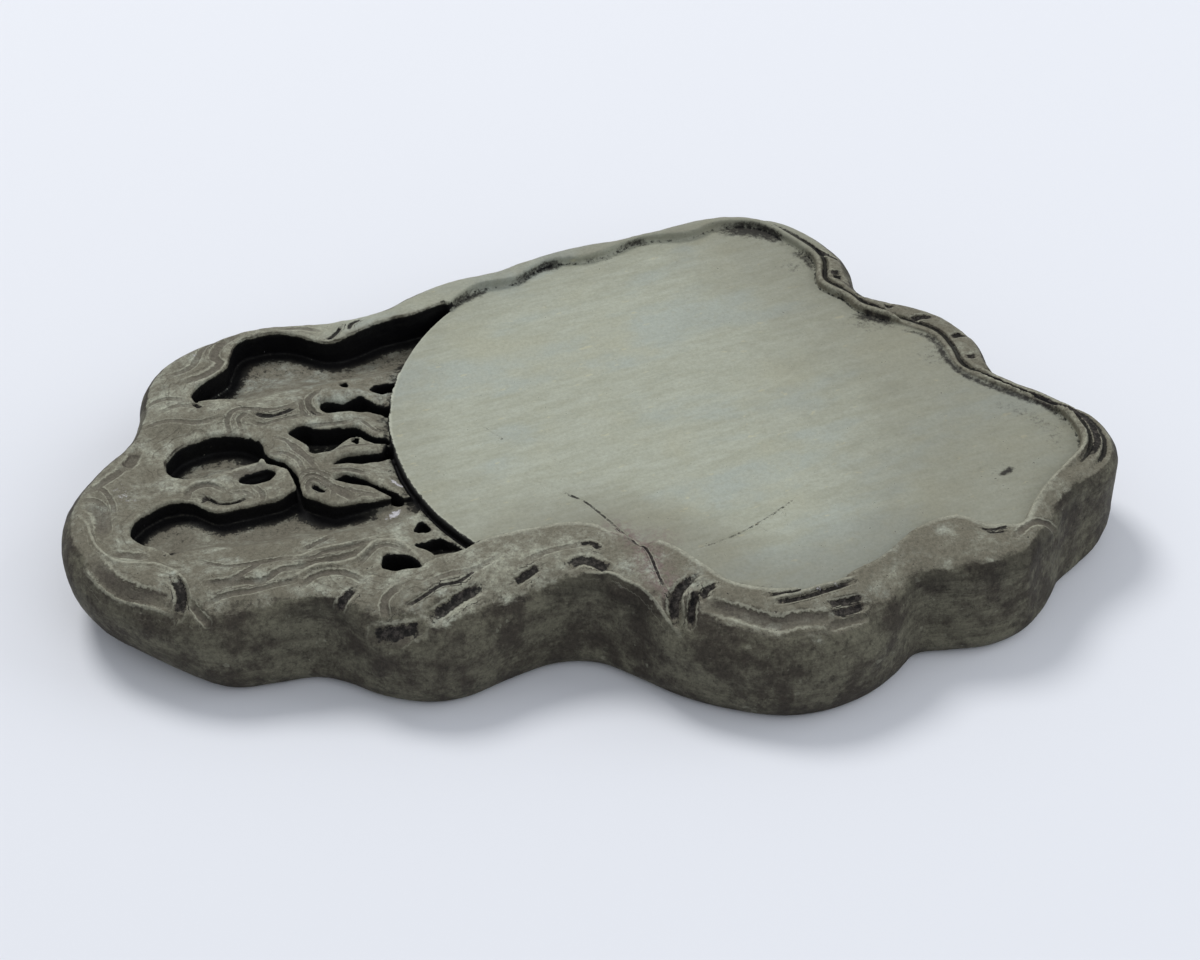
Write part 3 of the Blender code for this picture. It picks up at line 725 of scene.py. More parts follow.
def surface_nets(field):
    """Vertices in grid cells and quads of the surface where the field crosses zero."""
    solid = field < 0.0
    corners = [(i, j, k) for i in (0, 1) for j in (0, 1) for k in (0, 1)]
    nx, ny, nz = (n - 1 for n in field.shape)
    total = np.zeros((nx, ny, nz), np.int8)
    for i, j, k in corners:
        total += solid[i:i + nx, j:j + ny, k:k + nz]
    cells = np.argwhere((total > 0) & (total < 8))
    index = np.full((nx, ny, nz), -1, np.int32)
    index[tuple(cells.T)] = np.arange(len(cells))
    places = np.zeros((len(cells), 3))
    hits = np.zeros(len(cells))
    for axis in range(3):
        for a in corners:
            if a[axis]:
                continue
            b = tuple(c + (n == axis) for n, c in enumerate(a))
            fa = field[tuple((cells + a).T)]
            fb = field[tuple((cells + b).T)]
            crossed = (fa < 0.0) != (fb < 0.0)
            t = np.where(crossed, fa / np.where(crossed, fa - fb, 1.0), 0.0)
            spot = np.tile(np.array(a, float), (len(cells), 1))
            spot[:, axis] += t
            places += spot * crossed[:, None]
            hits += crossed
    vertices = cells + places / hits[:, None]
    quads = []
    for axis in range(3):
        u, v = (axis + 1) % 3, (axis + 2) % 3
        ahead = np.roll(solid, -1, axis)
        crossed = solid != ahead
        edges = np.argwhere(crossed)
        room = np.array(field.shape) - 1
        keep = (edges[:, axis] < room[axis]) & (edges[:, u] > 0) & (edges[:, v] > 0)
        keep &= (edges[:, u] < room[u]) & (edges[:, v] < room[v])
        edges = edges[keep]
        ring = []
        for du, dv in ((-1, -1), (0, -1), (0, 0), (-1, 0)):
            cell = edges.copy()
            cell[:, u] += du
            cell[:, v] += dv
            ring.append(index[tuple(cell.T)])
        ring = np.stack(ring, 1)
        outward = solid[tuple(edges.T)]
        quads.append(np.where(outward[:, None], ring, ring[:, ::-1]))
    return vertices, np.concatenate(quads)


def box_blur(values, cells):
    """Mean over a cube, done twice along each axis so that it falls off smoothly."""
    for axis in (0, 1, 2) * 2:
        pad = [(cells + 1, cells) if n == axis else (0, 0) for n in range(3)]
        sums = np.cumsum(np.pad(values, pad, mode="edge"), axis=axis, dtype=np.float32)
        size = values.shape[axis]
        high = np.take(sums, np.arange(2 * cells + 1, 2 * cells + 1 + size), axis=axis)
        values = (high - np.take(sums, np.arange(size), axis=axis)) / (2 * cells + 1)
    return values


def sample(grid, values, points):
    """Reads a flat map or a volume of the grid at points in millimetres."""
    axes = values.ndim
    places = (points[:, :axes] - grid.low[:axes]) / GRID
    whole = np.clip(np.floor(places).astype(int), 0, np.array(values.shape) - 2)
    part = places - whole
    found = np.zeros(len(points))
    for corner in np.ndindex(*(2,) * axes):
        share = np.ones(len(points))
        for axis, end in enumerate(corner):
            share *= part[:, axis] if end else 1.0 - part[:, axis]
        found += share * values[tuple((whole + corner).T)]
    return found


def plainness(grid, maps, points):
    """1 where the surface is plain and can be thinned most, 0 where carving and stains need points."""
    hall, reach = sample(grid, maps["hall"], points), sample(grid, maps["reach"], points)
    stain, cuts = sample(grid, maps["stain"], points), sample(grid, maps["cuts"], points)
    marked = np.maximum(stain, 4.0 * np.abs(cuts))
    plain = smooth(-8.0, -20.0, hall) * 0.6 * (1.0 - smooth(0.05, 0.2, marked))
    underside = smooth(0.6, 0.2, points[:, 2]) * smooth(14.0, 17.0, reach)
    return np.maximum(plain, underside)


def stone_mesh(grid, field, maps):
    """The field's surface as one smooth object, thinned where it is plain."""
    vertices, quads = surface_nets(field)
    vertices = grid.low + GRID * vertices
    mesh = bpy.data.meshes.new("stone")
    mesh.vertices.add(len(vertices))
    mesh.vertices.foreach_set("co", vertices.astype(np.float32).ravel())
    mesh.loops.add(quads.size)
    mesh.loops.foreach_set("vertex_index", quads.ravel().astype(np.int32))
    mesh.polygons.add(len(quads))
    mesh.polygons.foreach_set("loop_start", np.arange(0, quads.size, 4, dtype=np.int32))
    mesh.update(calc_edges=True)
    mesh.validate()
    stone = bpy.data.objects.new("stone", mesh)
    bpy.context.scene.collection.objects.link(stone)
    weights = plainness(grid, maps, vertices)
    group = stone.vertex_groups.new(name="plain")
    for step in range(11):
        picked = np.flatnonzero(np.round(weights * 10.0) == step)
        group.add(picked.tolist(), step / 10.0, "REPLACE")
    thin = stone.modifiers.new("thin", "DECIMATE")
    thin.ratio = min(1.0, FEWEST_TRIANGLES / (2.0 * len(quads)))
    thin.vertex_group = "plain"
    thin.vertex_group_factor = EVENNESS
    graph = bpy.context.evaluated_depsgraph_get()
    light = bpy.data.meshes.new_from_object(stone.evaluated_get(graph))
    stone.modifiers.clear()
    stone.data = light
    bpy.data.meshes.remove(mesh)
    light.shade_smooth()
    return stone


def mesh_points(mesh, what="co"):
    """Places or normals of a mesh's points, one row each."""
    values = np.empty(len(mesh.vertices) * 3, np.float32)
    source = mesh.vertices if what == "co" else mesh.vertex_normals
    source.foreach_get("co" if what == "co" else "vector", values)
    return values.reshape(-1, 3).astype(float)


def give_colour(mesh, name, red, green, blue):
    """Three masks from 0 to 1 as one colour attribute on the points."""
    layer = mesh.color_attributes.new(name, "FLOAT_COLOR", "POINT")
    values = np.stack([red, green, blue, np.ones(len(red))], 1)
    layer.data.foreach_set("color", np.clip(values, 0.0, 1.0).astype(np.float32).ravel())


# ---------------------------------------------------------------- masks


# Ink stains and dark patches: strength, half width, middle line
STAINS = [
    (0.9, 1.6, [(-18, 63.6), (-12, 67), (-4, 70)]),
    (0.9, 1.8, [(4, 70.6), (10, 74.4), (18, 75.4)]),
    (0.5, 1.2, [(22, 74.4), (32, 75), (36, 78)]),
    (0.8, 1.3, [(34, 77.4), (40, 79), (44, 78.4)]),
    (1.0, 3.4, [(66, 78), (72, 76.6), (77, 73), (79.6, 69)]),
    (0.8, 2.2, [(80, 63), (83, 59), (82.4, 54)]),
    (0.5, 4.0, [(76, 60), (80, 54)]),
    (0.7, 1.4, [(81.6, 46), (85, 41.6), (86, 37)]),
    (0.9, 2.6, [(86, 30.6), (90, 28.4), (94, 24.4)]),
    (0.5, 4.5, [(84, 28), (92, 22)]),
    (0.9, 1.3, [(96, 21), (100, 17.4), (102, 13), (101.6, 5), (103.6, -2), (108, -8), (113, -14),
                (118, -20), (119.4, -28)]),
    (0.4, 5.0, [(98, 14), (100, 4)]),
    (0.42, 4.0, [(104, -12), (111, -20), (115, -28), (114, -36)]),
    (0.6, 1.4, [(21, -58.6), (24.4, -61.4), (30, -63.6)]),
    (1.2, 0.9, [(95.4, -40.8), (98, -40), (99.4, -39.2)]),
    (0.4, 0.7, [(101, -39.4), (104, -39.6)]),
    (0.4, 0.6, [(97.6, -37.6), (98.6, -37.2)]),
    (0.4, 0.6, [(87, -20.6), (89, -20.8)]),
    (0.5, 1.0, [(70, -53.6), (74, -53), (78, -52.4)]),
    (0.6, 1.4, [(82, -60), (86, -61), (90, -62)]),
    (0.5, 1.2, [(14, -66), (18, -69), (22, -72), (27, -75)]),
    (0.45, 1.0, [(30, -76), (38, -77.6), (46, -77)]),
]


# Violet vein by the crack of the front rim, in the same terms
VEIN = [
    (0.9, 3.4, [(0, -32), (3, -38), (4, -46), (4, -54), (7, -62)]),
    (0.5, 2.5, [(8, -36), (12, -40)]),
]
# Chalky spots
CHALK = [
    (1.0, 1.3, [(-50, -9.6), (-46.4, -8.2)]),
    (1.0, 1.0, [(-46.6, 1.6), (-44.2, -1.2)]),
    (0.5, 3.6, [(-110, 18), (-109, 11)]),
    (0.45, 1.6, [(-86, 62), (-82, 66)]),
    (0.35, 1.2, [(-88, 51), (-84, 53)]),
    (0.6, 0.5, [(28, -53), (28.6, -53)]),
    (0.6, 0.5, [(27, -67.6), (35, -68.4), (44, -68)]),
]
# Places where handling has left most grime
GRIME = [
    (1.0, 9.0, [(-120, 2), (-117, -12), (-108, -24), (-96, -30)]),
    (0.2, 6.0, [(-112, 22), (-106, 34), (-98, 46)]),
    (0.8, 4.0, [(-94, -32), (-84, -34), (-74, -34)]),
    (0.8, 4.0, [(110, -50), (118, -44), (122, -34), (118, -22)]),
    (0.5, 4.0, [(84, 70), (88, 60), (87, 50)]),
    (0.6, 3.0, [(64, -66), (74, -66), (84, -68)]),
    (0.4, 5.0, [(-60, -44), (-48, -46), (-36, -44)]),
    (0.5, 3.0, [(24, -72), (36, -75), (48, -74)]),
]


def paint_spots(grid, spots):
    """Flat map of soft spots, each strongest on its middle line."""
    spotted = np.zeros(grid.x.shape)
    for strength, half, points in spots:
        path = spline(points, 6)
        window = grid.window(path, 3.0 * half + 1.0)
        gap, along = to_path(grid.x[window], grid.y[window], path)
        spot = strength * np.exp(-((gap / half) ** 2)) * (0.45 + 0.55 * ends(along))
        spotted[window] = np.maximum(spotted[window], spot)
    return spotted


def ink_and_shade_mask(up, far, pit, beyond, sunk, y, z):
    """Ink in the hollows, with painted shade: on walls, deep floors and the disc edge, and in corners."""
    in_pit = smooth(1.2, 0.2, pit)
    # Walls under the lips: ink, and painted shade under the overhang
    wall = smooth(2.4, 1.4, pit) * smooth(0.80, 0.55, up) * smooth(0.3, 1.0, sunk)
    floor = in_pit * smooth(23.6, 20.8, z) * smooth(5.6, 0.6, -pit)
    deep_floor = 0.32 * in_pit * smooth(21.5, 17.5, z)
    trench = smooth(1.2, 0.7, beyond) * smooth(24.0, 12.0, y)
    by_disc = in_pit * np.maximum(0.5 * smooth(7.0, 0.0, beyond), trench)
    # Painted shade in corners that the wide look finds enclosed
    corner = 0.8 * in_pit * smooth(0.52, 0.66, far)
    return np.maximum.reduce([wall, floor, deep_floor, by_disc, corner])


def dull_mask(spots, hall, x, y):
    """Grime of handling in spots, towards the hall's rim and at both ends, with painted shade to the
    right.
    """
    # Darker towards the front right of the hall and at the right end: partly grime, partly painted shade
    corner = x - 1.6 * y * smooth(0.5, -0.5, hall)
    near_rim = smooth(-38.0, 0.0, hall) * (0.6 + 0.4 * smooth(-30.0, 70.0, corner))
    right_end = 0.9 * smooth(20.0, 100.0, x + 0.3 * np.abs(y))
    left_end = 0.8 * smooth(-38.0, -62.0, x) * (1.0 - 0.9 * smooth(8.0, 34.0, y))
    return np.maximum.reduce([spots, near_rim, right_end, left_end])


def lit_mask(in_hall, up, hall, pit, beyond, x, y):
    """Painted highlights: the disc edge above the hollows, and two stretches of the hall's front lip."""
    disc_edge = in_hall * smooth(-1.1, -0.4, beyond) * smooth(0.5, 0.2, pit - 0.5)
    front_lip = smooth(0.9, 0.4, np.abs(hall - 0.7)) * smooth(-18.0, -24.0, y) * smooth(0.4, 0.8, up)
    middle_stretch = smooth(-48.0, -26.0, x) * smooth(44.0, 26.0, x)
    right_stretch = smooth(66.0, 78.0, x) * smooth(108.0, 96.0, x)
    return np.maximum(disc_edge, 0.45 * (front_lip * np.maximum(middle_stretch, right_stretch)))


def mask_stone(grid, field, maps, mesh):
    """Puts masks on the points: ink, painted shade and highlight, creases, edges, sides, hall, lines,
    stains.
    """
    points = mesh_points(mesh)
    up = mesh_points(mesh, "normal")[:, 2]
    x, y, z = points.T

    def read(values):
        return sample(grid, values, points)

    solid = np.clip(0.5 - field / GRID, 0.0, 1.0)
    near = read(box_blur(solid, max(1, round(NEAR_REACH / GRID))))
    far = read(box_blur(solid, max(2, round(FAR_REACH / GRID))))
    hall, pit, beyond = read(maps["hall"]), read(maps["pit"]), read(maps["beyond"])
    sunk = read(maps["surface"]) - z

    at_hall_height = smooth(HALL + 0.5, HALL + 0.2, z) * smooth(HALL - 0.8, HALL - 0.3, z)
    in_hall = smooth(0.3, -0.3, hall) * at_hall_height
    back_rim = 0.95 * smooth(50.0, 64.0, y) * smooth(-70.0, -40.0, x) * smooth(-0.5, 1.0, pit)
    clean = np.maximum(in_hall, back_rim)
    outer = smooth(16.0, 12.0, read(maps["reach"])) * smooth(-0.5, 1.0, pit) * smooth(0.0, 1.0, hall)
    side = outer * smooth(0.97, 0.60, up)
    # Painted shade in the bays of the front, where the wall stands up under the top
    bay = outer * read(maps["bay"]) * smooth(0.95, 0.7, up) * smooth(12.0, 24.0, z)
    # Ink in the hollows, with painted shade on their walls, deep floors and corners
    ink_and_shade = ink_and_shade_mask(up, far, pit, beyond, sunk, y, z)
    # Grime of handling, with painted shade that darkens the stone towards the right end
    dull = dull_mask(read(paint_spots(grid, GRIME)), hall, x, y)
    # Painted highlights on the disc edge and the hall's front lip
    lit = lit_mask(in_hall, up, hall, pit, beyond, x, y)

    stain = read(maps["stain"]) * smooth(CREST + 0.5, HALL + 1.2, z)
    above_foot = smooth(LOWEST_CUT, LOWEST_CUT + 3.0, z)
    on_top = smooth(2.6, 1.4, sunk) * above_foot * smooth(0.2, 0.45, up)
    on_top = np.maximum(on_top, 0.55 * in_hall * smooth(-2.0, -4.0, hall))
    across, (groove, inked, ridge) = line_marks(points[:, :2])
    flow = np.where(x < FLOW_END, np.clip(pit / FLOW_REACH, 0.0, 1.0), 1.0)

    give_colour(mesh, "wear_ink_and_shade", smooth(0.53, 0.72, near), smooth(0.47, 0.3, near), ink_and_shade)
    give_colour(mesh, "place", clean, side, dull)
    violet = read(paint_spots(grid, VEIN))
    give_colour(mesh, "marks", stain, violet, smooth(0.1, 1.0, read(maps["grooves"])))
    give_colour(mesh, "chalk_bay_shade_flow", read(paint_spots(grid, CHALK)), bay, flow)
    give_colour(mesh, "lines", 0.5 + across / LINE_SPAN, groove * on_top, inked * on_top)
    give_colour(mesh, "cords", ridge * on_top, lit, smooth(1.2, 0.2, pit) * smooth(24.4, 22.6, z))


# ---------------------------------------------------------------- materials


class Nodes:
    """A short way to write a material's nodes."""

    def __init__(self, name):
        self.material = bpy.data.materials.new(name)
        self.material.use_nodes = True
        self.tree = self.material.node_tree
        self.shader = self.tree.nodes["Principled BSDF"]

    def put(self, socket, value):
        if isinstance(value, bpy.types.NodeSocket):
            self.tree.links.new(value, socket)
        else:
            socket.default_value = value

    def add(self, kind, settings=None, inputs=None, output=0):
        node = self.tree.nodes.new(kind)
        for key, value in (settings or {}).items():
            setattr(node, key, value)
        for key, value in (inputs or {}).items():
            self.put(node.inputs[key], value)
        return node.outputs[output]

    def math(self, operation, a, b=0.0):
        return self.add("ShaderNodeMath", {"operation": operation}, {0: a, 1: b})

    def part(self, factor, amount):
        return self.math("MULTIPLY", factor, amount)

    def plus(self, a, b):
        return self.math("ADD", a, b)

    def most(self, a, b):
        return self.math("MAXIMUM", a, b)

    def centred(self, noise):
        return self.math("SUBTRACT", noise, 0.5)

    def noise(self, vector, size, detail=3.0, roughness=0.55):
        """Noise with features of a size in millimetres."""
        inputs = {"Vector": vector, "Scale": 1.0 / size, "Detail": detail, "Roughness": roughness}
        return self.add("ShaderNodeTexNoise", None, inputs)

    def ramp(self, value, low, high):
        """0 at low and 1 at high, smoothly."""
        inputs = {"Value": value, "From Min": low, "From Max": high}
        return self.add("ShaderNodeMapRange", {"interpolation_type": "SMOOTHSTEP"}, inputs)

    def mix(self, factor, a, b, blend="MIX"):
        node = self.tree.nodes.new("ShaderNodeMix")
        node.data_type = "RGBA"
        node.blend_type = blend
        for key, value in (("Factor_Float", factor), ("A_Color", a), ("B_Color", b)):
            socket = next(s for s in node.inputs if s.identifier == key)
            self.put(socket, value)
        return next(s for s in node.outputs if s.identifier == "Result_Color")

    def tint(self, colour, name, *shares):
        """Mixes in one of the stone's colours, by the product of the shares."""
        share = shares[0]
        for other in shares[1:]:
            share = self.part(share, other)
        return self.mix(share, colour, tone(name))

    def stretched(self, vector, turn, scale):
        """Coordinates turned about z by some degrees, then scaled along each axis."""
        rotation = (0, 0, math.radians(turn))
        turned = self.add("ShaderNodeMapping", None, {"Vector": vector, "Rotation": rotation})
        return self.add("ShaderNodeMapping", None, {"Vector": turned, "Scale": scale})

    def masks(self, name):
        """The three masks of one colour attribute."""
        colour = self.add("ShaderNodeAttribute", {"attribute_name": name}, None, "Color")
        split = self.tree.nodes.new("ShaderNodeSeparateColor")
        self.tree.links.new(colour, split.inputs[0])
        return split.outputs[0], split.outputs[1], split.outputs[2]


def rgb(red, green, blue):
    """A colour given as screen values from 0 to 255."""
    def linear(value):
        value /= 255.0
        return value / 12.92 if value <= 0.04045 else ((value + 0.055) / 1.055) ** 2.4
    return (linear(red), linear(green), linear(blue), 1.0)


# Colours of the stone, as screen values from 0 to 255
COLOURS = {
    "hall dark": (147, 149, 134),
    "hall pale": (159, 162, 149),
    "blue band": (150, 157, 151),
    "olive cloud": (155, 155, 137),
    "mottle": (143, 143, 127),
    "straw fleck": (180, 175, 146),
    "tan": (121, 119, 106),
    "tan dark": (96, 91, 81),
    "tan pale": (148, 149, 134),
    # Grime, also laid as painted shade towards the right end
    "grime_and_shade": (99, 95, 83),
    "sunken ground": (96, 92, 84),
    # Painted highlight on edges
    "lit edge": (182, 184, 168),
    "violet": (112, 96, 94),
    "speck": (40, 38, 36),
    "dirt": (52, 48, 45),
    "worn edge": (166, 166, 149),
    "patina dark": (60, 56, 50),
    "patina pale": (97, 95, 82),
    "streak dark": (52, 47, 42),
    "streak pale": (100, 99, 86),
    "patina pit": (38, 36, 33),
    "patina worn": (104, 103, 90),
    "patina spot": (124, 124, 110),
    # Painted shade in the bays
    "bay": (38, 35, 32),
    "groove": (84, 79, 72),
    # Painted highlights on the lips of grooves and along ridges
    "groove lip": (168, 168, 152),
    "ridge": (164, 164, 148),
    "engraved": (92, 88, 78),
    "dent pale": (64, 60, 57),
    "dent dark": (20, 19, 20),
    "stain": (32, 29, 30),
    # Ink, also laid as painted shade in the hollows
    "ink_and_shade": (9, 9, 12),
    "chalk": (176, 174, 178),
}


def tone(name):
    """One of the stone's colours, ready for a socket."""
    return rgb(*COLOURS[name])


def stone_marks(n):
    """The masks on the stone's points, and the noises that more than one layer uses."""
    s = SimpleNamespace()
    place = n.add("ShaderNodeTexCoord", None, None, "Object")
    s.mm = n.add("ShaderNodeVectorMath", {"operation": "SCALE"}, {0: place, "Scale": 1.0 / MM})
    s.crease, s.edge, s.poured = n.masks("wear_ink_and_shade")
    s.hall, s.side, s.dull = n.masks("place")
    s.stain, s.vein, s.trench = n.masks("marks")
    s.chalk, s.bay, s.flow = n.masks("chalk_bay_shade_flow")
    s.across, s.groove, s.inked = n.masks("lines")
    s.ridge, s.lit, s.sunken = n.masks("cords")
    s.away = n.math("SUBTRACT", 1.0, s.hall)
    s.tan = n.noise(s.mm, 7.0, 9.0, 0.72)
    s.fine = n.noise(s.mm, 1.5, 8.0, 0.78)
    s.loose = n.centred(n.noise(s.mm, 1.3, 9.0, 0.78))
    wobble = n.part(n.centred(n.noise(s.mm, 1.1, 4.0, 0.6)), 1.2)
    s.from_line = n.math("ABSOLUTE", n.plus(n.part(n.centred(s.across), LINE_SPAN), wobble))
    s.core = n.ramp(s.from_line, 1.0, 0.6)
    return s


def bedded_stone(n, s):
    """Bare stone: fine pale and blue-grey streaks that rise a few degrees along x."""
    streak = n.noise(n.stretched(s.mm, -6.0, (0.22, 1.0, 1.0)), 2.6, 8.0, 0.72)
    band = n.noise(n.stretched(s.mm, -8.0, (0.35, 1.0, 1.0)), 24.0, 5.0, 0.6)
    cloud = n.noise(s.mm, 26.0, 5.0, 0.6)
    mottle = n.noise(s.mm, 2.2, 8.0, 0.75)
    fleck = n.noise(n.stretched(s.mm, -6.0, (0.4, 1.0, 1.0)), 1.9, 3.0, 0.6)
    colour = n.mix(n.ramp(streak, 0.3, 0.7), tone("hall dark"), tone("hall pale"))
    colour = n.tint(colour, "blue band", n.ramp(band, 0.5, 0.62), 0.6)
    colour = n.tint(colour, "olive cloud", n.ramp(cloud, 0.48, 0.68), 0.55)
    colour = n.tint(colour, "mottle", n.ramp(mottle, 0.5, 0.68), 0.4)
    return n.tint(colour, "straw fleck", n.ramp(fleck, 0.66, 0.71), 0.4)


def handled_stone_and_painted_light(n, s, colour):
    """Rim and roots: blotched by handling and painted shade, crisp dark specks, paler worn edges, painted
    highlights.
    """
    colour = n.tint(colour, "tan", s.away, n.ramp(s.tan, 0.30, 0.56))
    colour = n.tint(colour, "tan dark", s.away, n.ramp(s.fine, 0.50, 0.60), 0.6)
    colour = n.tint(colour, "tan pale", s.away, n.ramp(s.fine, 0.36, 0.26), 0.4)
    patchy = n.part(n.centred(s.tan), n.plus(n.part(s.away, 1.7), 0.5))
    # Grime of handling, and painted shade towards the right end
    grime_and_shade = n.ramp(n.plus(s.dull, patchy), 0.3, 1.0)
    colour = n.tint(colour, "grime_and_shade", grime_and_shade, n.plus(n.part(s.away, 0.30), 0.46))
    colour = n.tint(colour, "sunken ground", s.sunken, 0.28)
    # Painted highlight on the disc edge and the hall's front lip
    colour = n.tint(colour, "lit edge", s.lit, 0.7)
    colour = n.tint(colour, "violet", s.vein, n.ramp(s.fine, 0.4, 0.6))
    speck = n.noise(s.mm, 0.9, 4.0, 0.7)
    more = n.plus(n.part(s.away, 0.03), n.part(n.plus(s.side, grime_and_shade), 0.02))
    colour = n.tint(colour, "speck", n.ramp(n.plus(speck, more), 0.69, 0.73))
    dirt = n.plus(n.part(s.loose, 2.4), n.part(n.centred(s.tan), 1.2))
    shoulder = n.part(n.part(n.ramp(s.side, 0.03, 0.25), n.ramp(s.side, 0.75, 0.35)), s.away)
    colour = n.tint(colour, "dirt", n.ramp(n.plus(n.part(shoulder, 0.5), dirt), 0.55, 0.75), 0.6)
    return n.tint(colour, "worn edge", s.edge, 0.36, n.part(s.away, n.ramp(s.fine, 0.62, 0.4)))


def patina_and_bay_shade(n, s, colour):
    """The sides: dark, in level streaks, with a few pale spots, and darkest with painted shade in the
    bays.
    """
    strata = n.noise(n.stretched(s.mm, 0.0, (0.12, 0.12, 1.0)), 2.6, 8.0, 0.74)
    blotch = n.noise(s.mm, 11.0, 9.0, 0.74)
    spot = n.noise(s.mm, 2.8, 3.0, 0.55)
    patina = n.mix(n.ramp(blotch, 0.40, 0.60), tone("patina dark"), tone("patina pale"))
    patina = n.tint(patina, "streak dark", n.ramp(strata, 0.46, 0.62), 0.4)
    patina = n.tint(patina, "streak pale", n.ramp(strata, 0.42, 0.3), 0.2)
    patina = n.tint(patina, "patina pit", n.ramp(s.fine, 0.52, 0.64), 0.55)
    patina = n.tint(patina, "patina worn", n.ramp(s.fine, 0.42, 0.32), 0.35)
    patina = n.tint(patina, "patina spot", n.ramp(spot, 0.68, 0.72), 0.4)
    torn = n.plus(n.centred(strata), n.centred(s.tan))
    old = n.ramp(n.plus(s.side, n.part(torn, 1.7)), 0.22, 0.66)
    colour = n.mix(n.part(old, n.ramp(s.side, 0.0, 0.15)), colour, patina)
    # Painted shade in the bays, torn by the streaks
    return n.tint(colour, "bay", n.ramp(n.plus(s.bay, n.part(torn, 1.4)), 0.42, 0.80), 0.45)


def carved_lines(n, s, colour):
    """Brown grooves with painted highlights on their lips, and ridges lightened by painted highlight."""
    lip = n.part(n.ramp(s.from_line, 0.9, 1.1), n.ramp(s.from_line, 1.5, 1.2))
    colour = n.tint(colour, "groove", s.core, s.groove, 0.62)
    # Painted highlight on the lips of grooves
    colour = n.tint(colour, "groove lip", lip, n.most(s.groove, s.inked), 0.4)
    # Painted highlight along the ridges
    return n.tint(colour, "ridge", n.ramp(s.from_line, 0.7, 0.3), s.ridge, 0.5)


def engraved_lines(n, s):
    """How far the faint broken lines that follow the lips of the hollows show."""
    drift = n.part(n.centred(n.noise(s.mm, 9.0, 3.0, 0.5)), 9.0)
    wave = n.math("SINE", n.part(n.plus(n.part(s.flow, FLOW_REACH), drift), 2.5))
    broken = n.part(n.ramp(n.noise(s.mm, 6.0, 3.0, 0.6), 0.46, 0.58), n.ramp(s.flow, 1.0, 0.9))
    broken = n.part(broken, n.part(n.ramp(s.flow, 0.02, 0.08), s.away))
    return n.part(n.ramp(wave, 0.80, 0.98), broken)


def ink_and_shade_cover(n, s):
    """How far ink covers the stone: in creases and grooves, and in the hollows, where painted shade joins
    it.
    """
    settled = n.most(n.part(s.crease, 0.62), n.part(s.trench, 0.8))
    settled = n.ramp(n.plus(settled, n.part(s.loose, 1.5)), 0.40, 0.62)
    uneven = n.plus(n.part(s.loose, 2.2), n.part(n.centred(s.tan), 0.9))
    return n.most(settled, n.ramp(n.plus(s.poured, uneven), 0.38, 0.66))


def inked_and_shaded_stone(n, s, colour, ink_and_shade):
    """Old ink in the dents, smudges, fresh ink and painted shade in the hollows, and chalky spots on top.
    """
    dent = n.ramp(n.plus(n.part(s.core, s.inked), n.part(s.loose, 2.6)), 0.32, 0.66)
    filled = n.mix(n.ramp(s.fine, 0.38, 0.54), tone("dent pale"), tone("dent dark"))
    colour = n.mix(n.part(dent, 0.92), colour, filled)
    ragged = n.plus(n.part(s.loose, 1.8), n.part(n.centred(s.tan), 0.8))
    colour = n.tint(colour, "stain", n.ramp(n.plus(s.stain, ragged), 0.36, 0.95), 0.9)
    # Near black over the ink and the painted shade of the hollows
    deep = n.ramp(s.poured, 0.6, 1.0)
    colour = n.tint(colour, "ink_and_shade", ink_and_shade, n.plus(n.part(deep, 0.12), 0.86))
    return n.tint(colour, "chalk", n.ramp(n.plus(s.chalk, n.part(s.loose, 3.4)), 0.6, 0.85))


def grained(n, s, colour):
    """Lightens and darkens the colour with the grain of the stone."""
    grain = n.noise(s.mm, 0.9, 6.0, 0.85)
    shade = n.mix(n.ramp(grain, 0.3, 0.7), (0.0, 0.0, 0.0, 1.0), (1.0, 1.0, 1.0, 1.0))
    return n.mix(n.plus(0.10, n.part(s.away, 0.20)), colour, shade, "OVERLAY")


def surface_relief(n, s, engraved):
    """Bump of the surface: pits off the hall, scratches along the bed, and the floors of the lines."""
    pits = n.part(n.noise(s.mm, 1.1, 6.0, 0.68), n.plus(n.part(s.away, 0.9), 0.05))
    scratches = n.noise(n.stretched(s.mm, 8.0, (0.12, 1.0, 0.6)), 0.7, 3.0, 0.6)
    relief = n.plus(pits, n.part(scratches, 0.1))
    relief = n.math("SUBTRACT", relief, n.part(n.part(s.core, n.most(s.groove, s.inked)), 0.5))
    relief = n.math("SUBTRACT", relief, n.part(engraved, 0.5))
    return n.add("ShaderNodeBump", None, {"Height": relief, "Strength": 0.7, "Distance": 0.4 * MM})


def stone_material():
    n = Nodes("grey_green_stone")
    s = stone_marks(n)
    engraved = engraved_lines(n, s)
    ink_and_shade = ink_and_shade_cover(n, s)
    colour = handled_stone_and_painted_light(n, s, bedded_stone(n, s))
    colour = carved_lines(n, s, patina_and_bay_shade(n, s, colour))
    colour = n.tint(colour, "engraved", engraved, 0.5)
    colour = inked_and_shaded_stone(n, s, colour, ink_and_shade)
    n.put(n.shader.inputs["Base Color"], grained(n, s, colour))
    rough = n.plus(0.55, n.part(n.ramp(s.tan, 0.3, 0.7), 0.16))
    n.put(n.shader.inputs["Roughness"], n.math("SUBTRACT", rough, n.part(ink_and_shade, 0.05)))
    n.put(n.shader.inputs["Normal"], surface_relief(n, s, engraved))
    n.shader.inputs["Specular IOR Level"].default_value = 0.07
    return n.material


def plain_material(name, colour, roughness):
    n = Nodes(name)
    n.shader.inputs["Base Color"].default_value = colour
    n.shader.inputs["Roughness"].default_value = roughness
    n.shader.inputs["Specular IOR Level"].default_value = 0.2
    return n.material


# ---------------------------------------------------------------- the stage


FLOOR_HALF = 3.0
FLOOR_COLOUR = (218, 220, 226)
ROOM_COLOUR = (0.92, 0.955, 1.0, 1.0)
ROOM_STRENGTH = 0.58

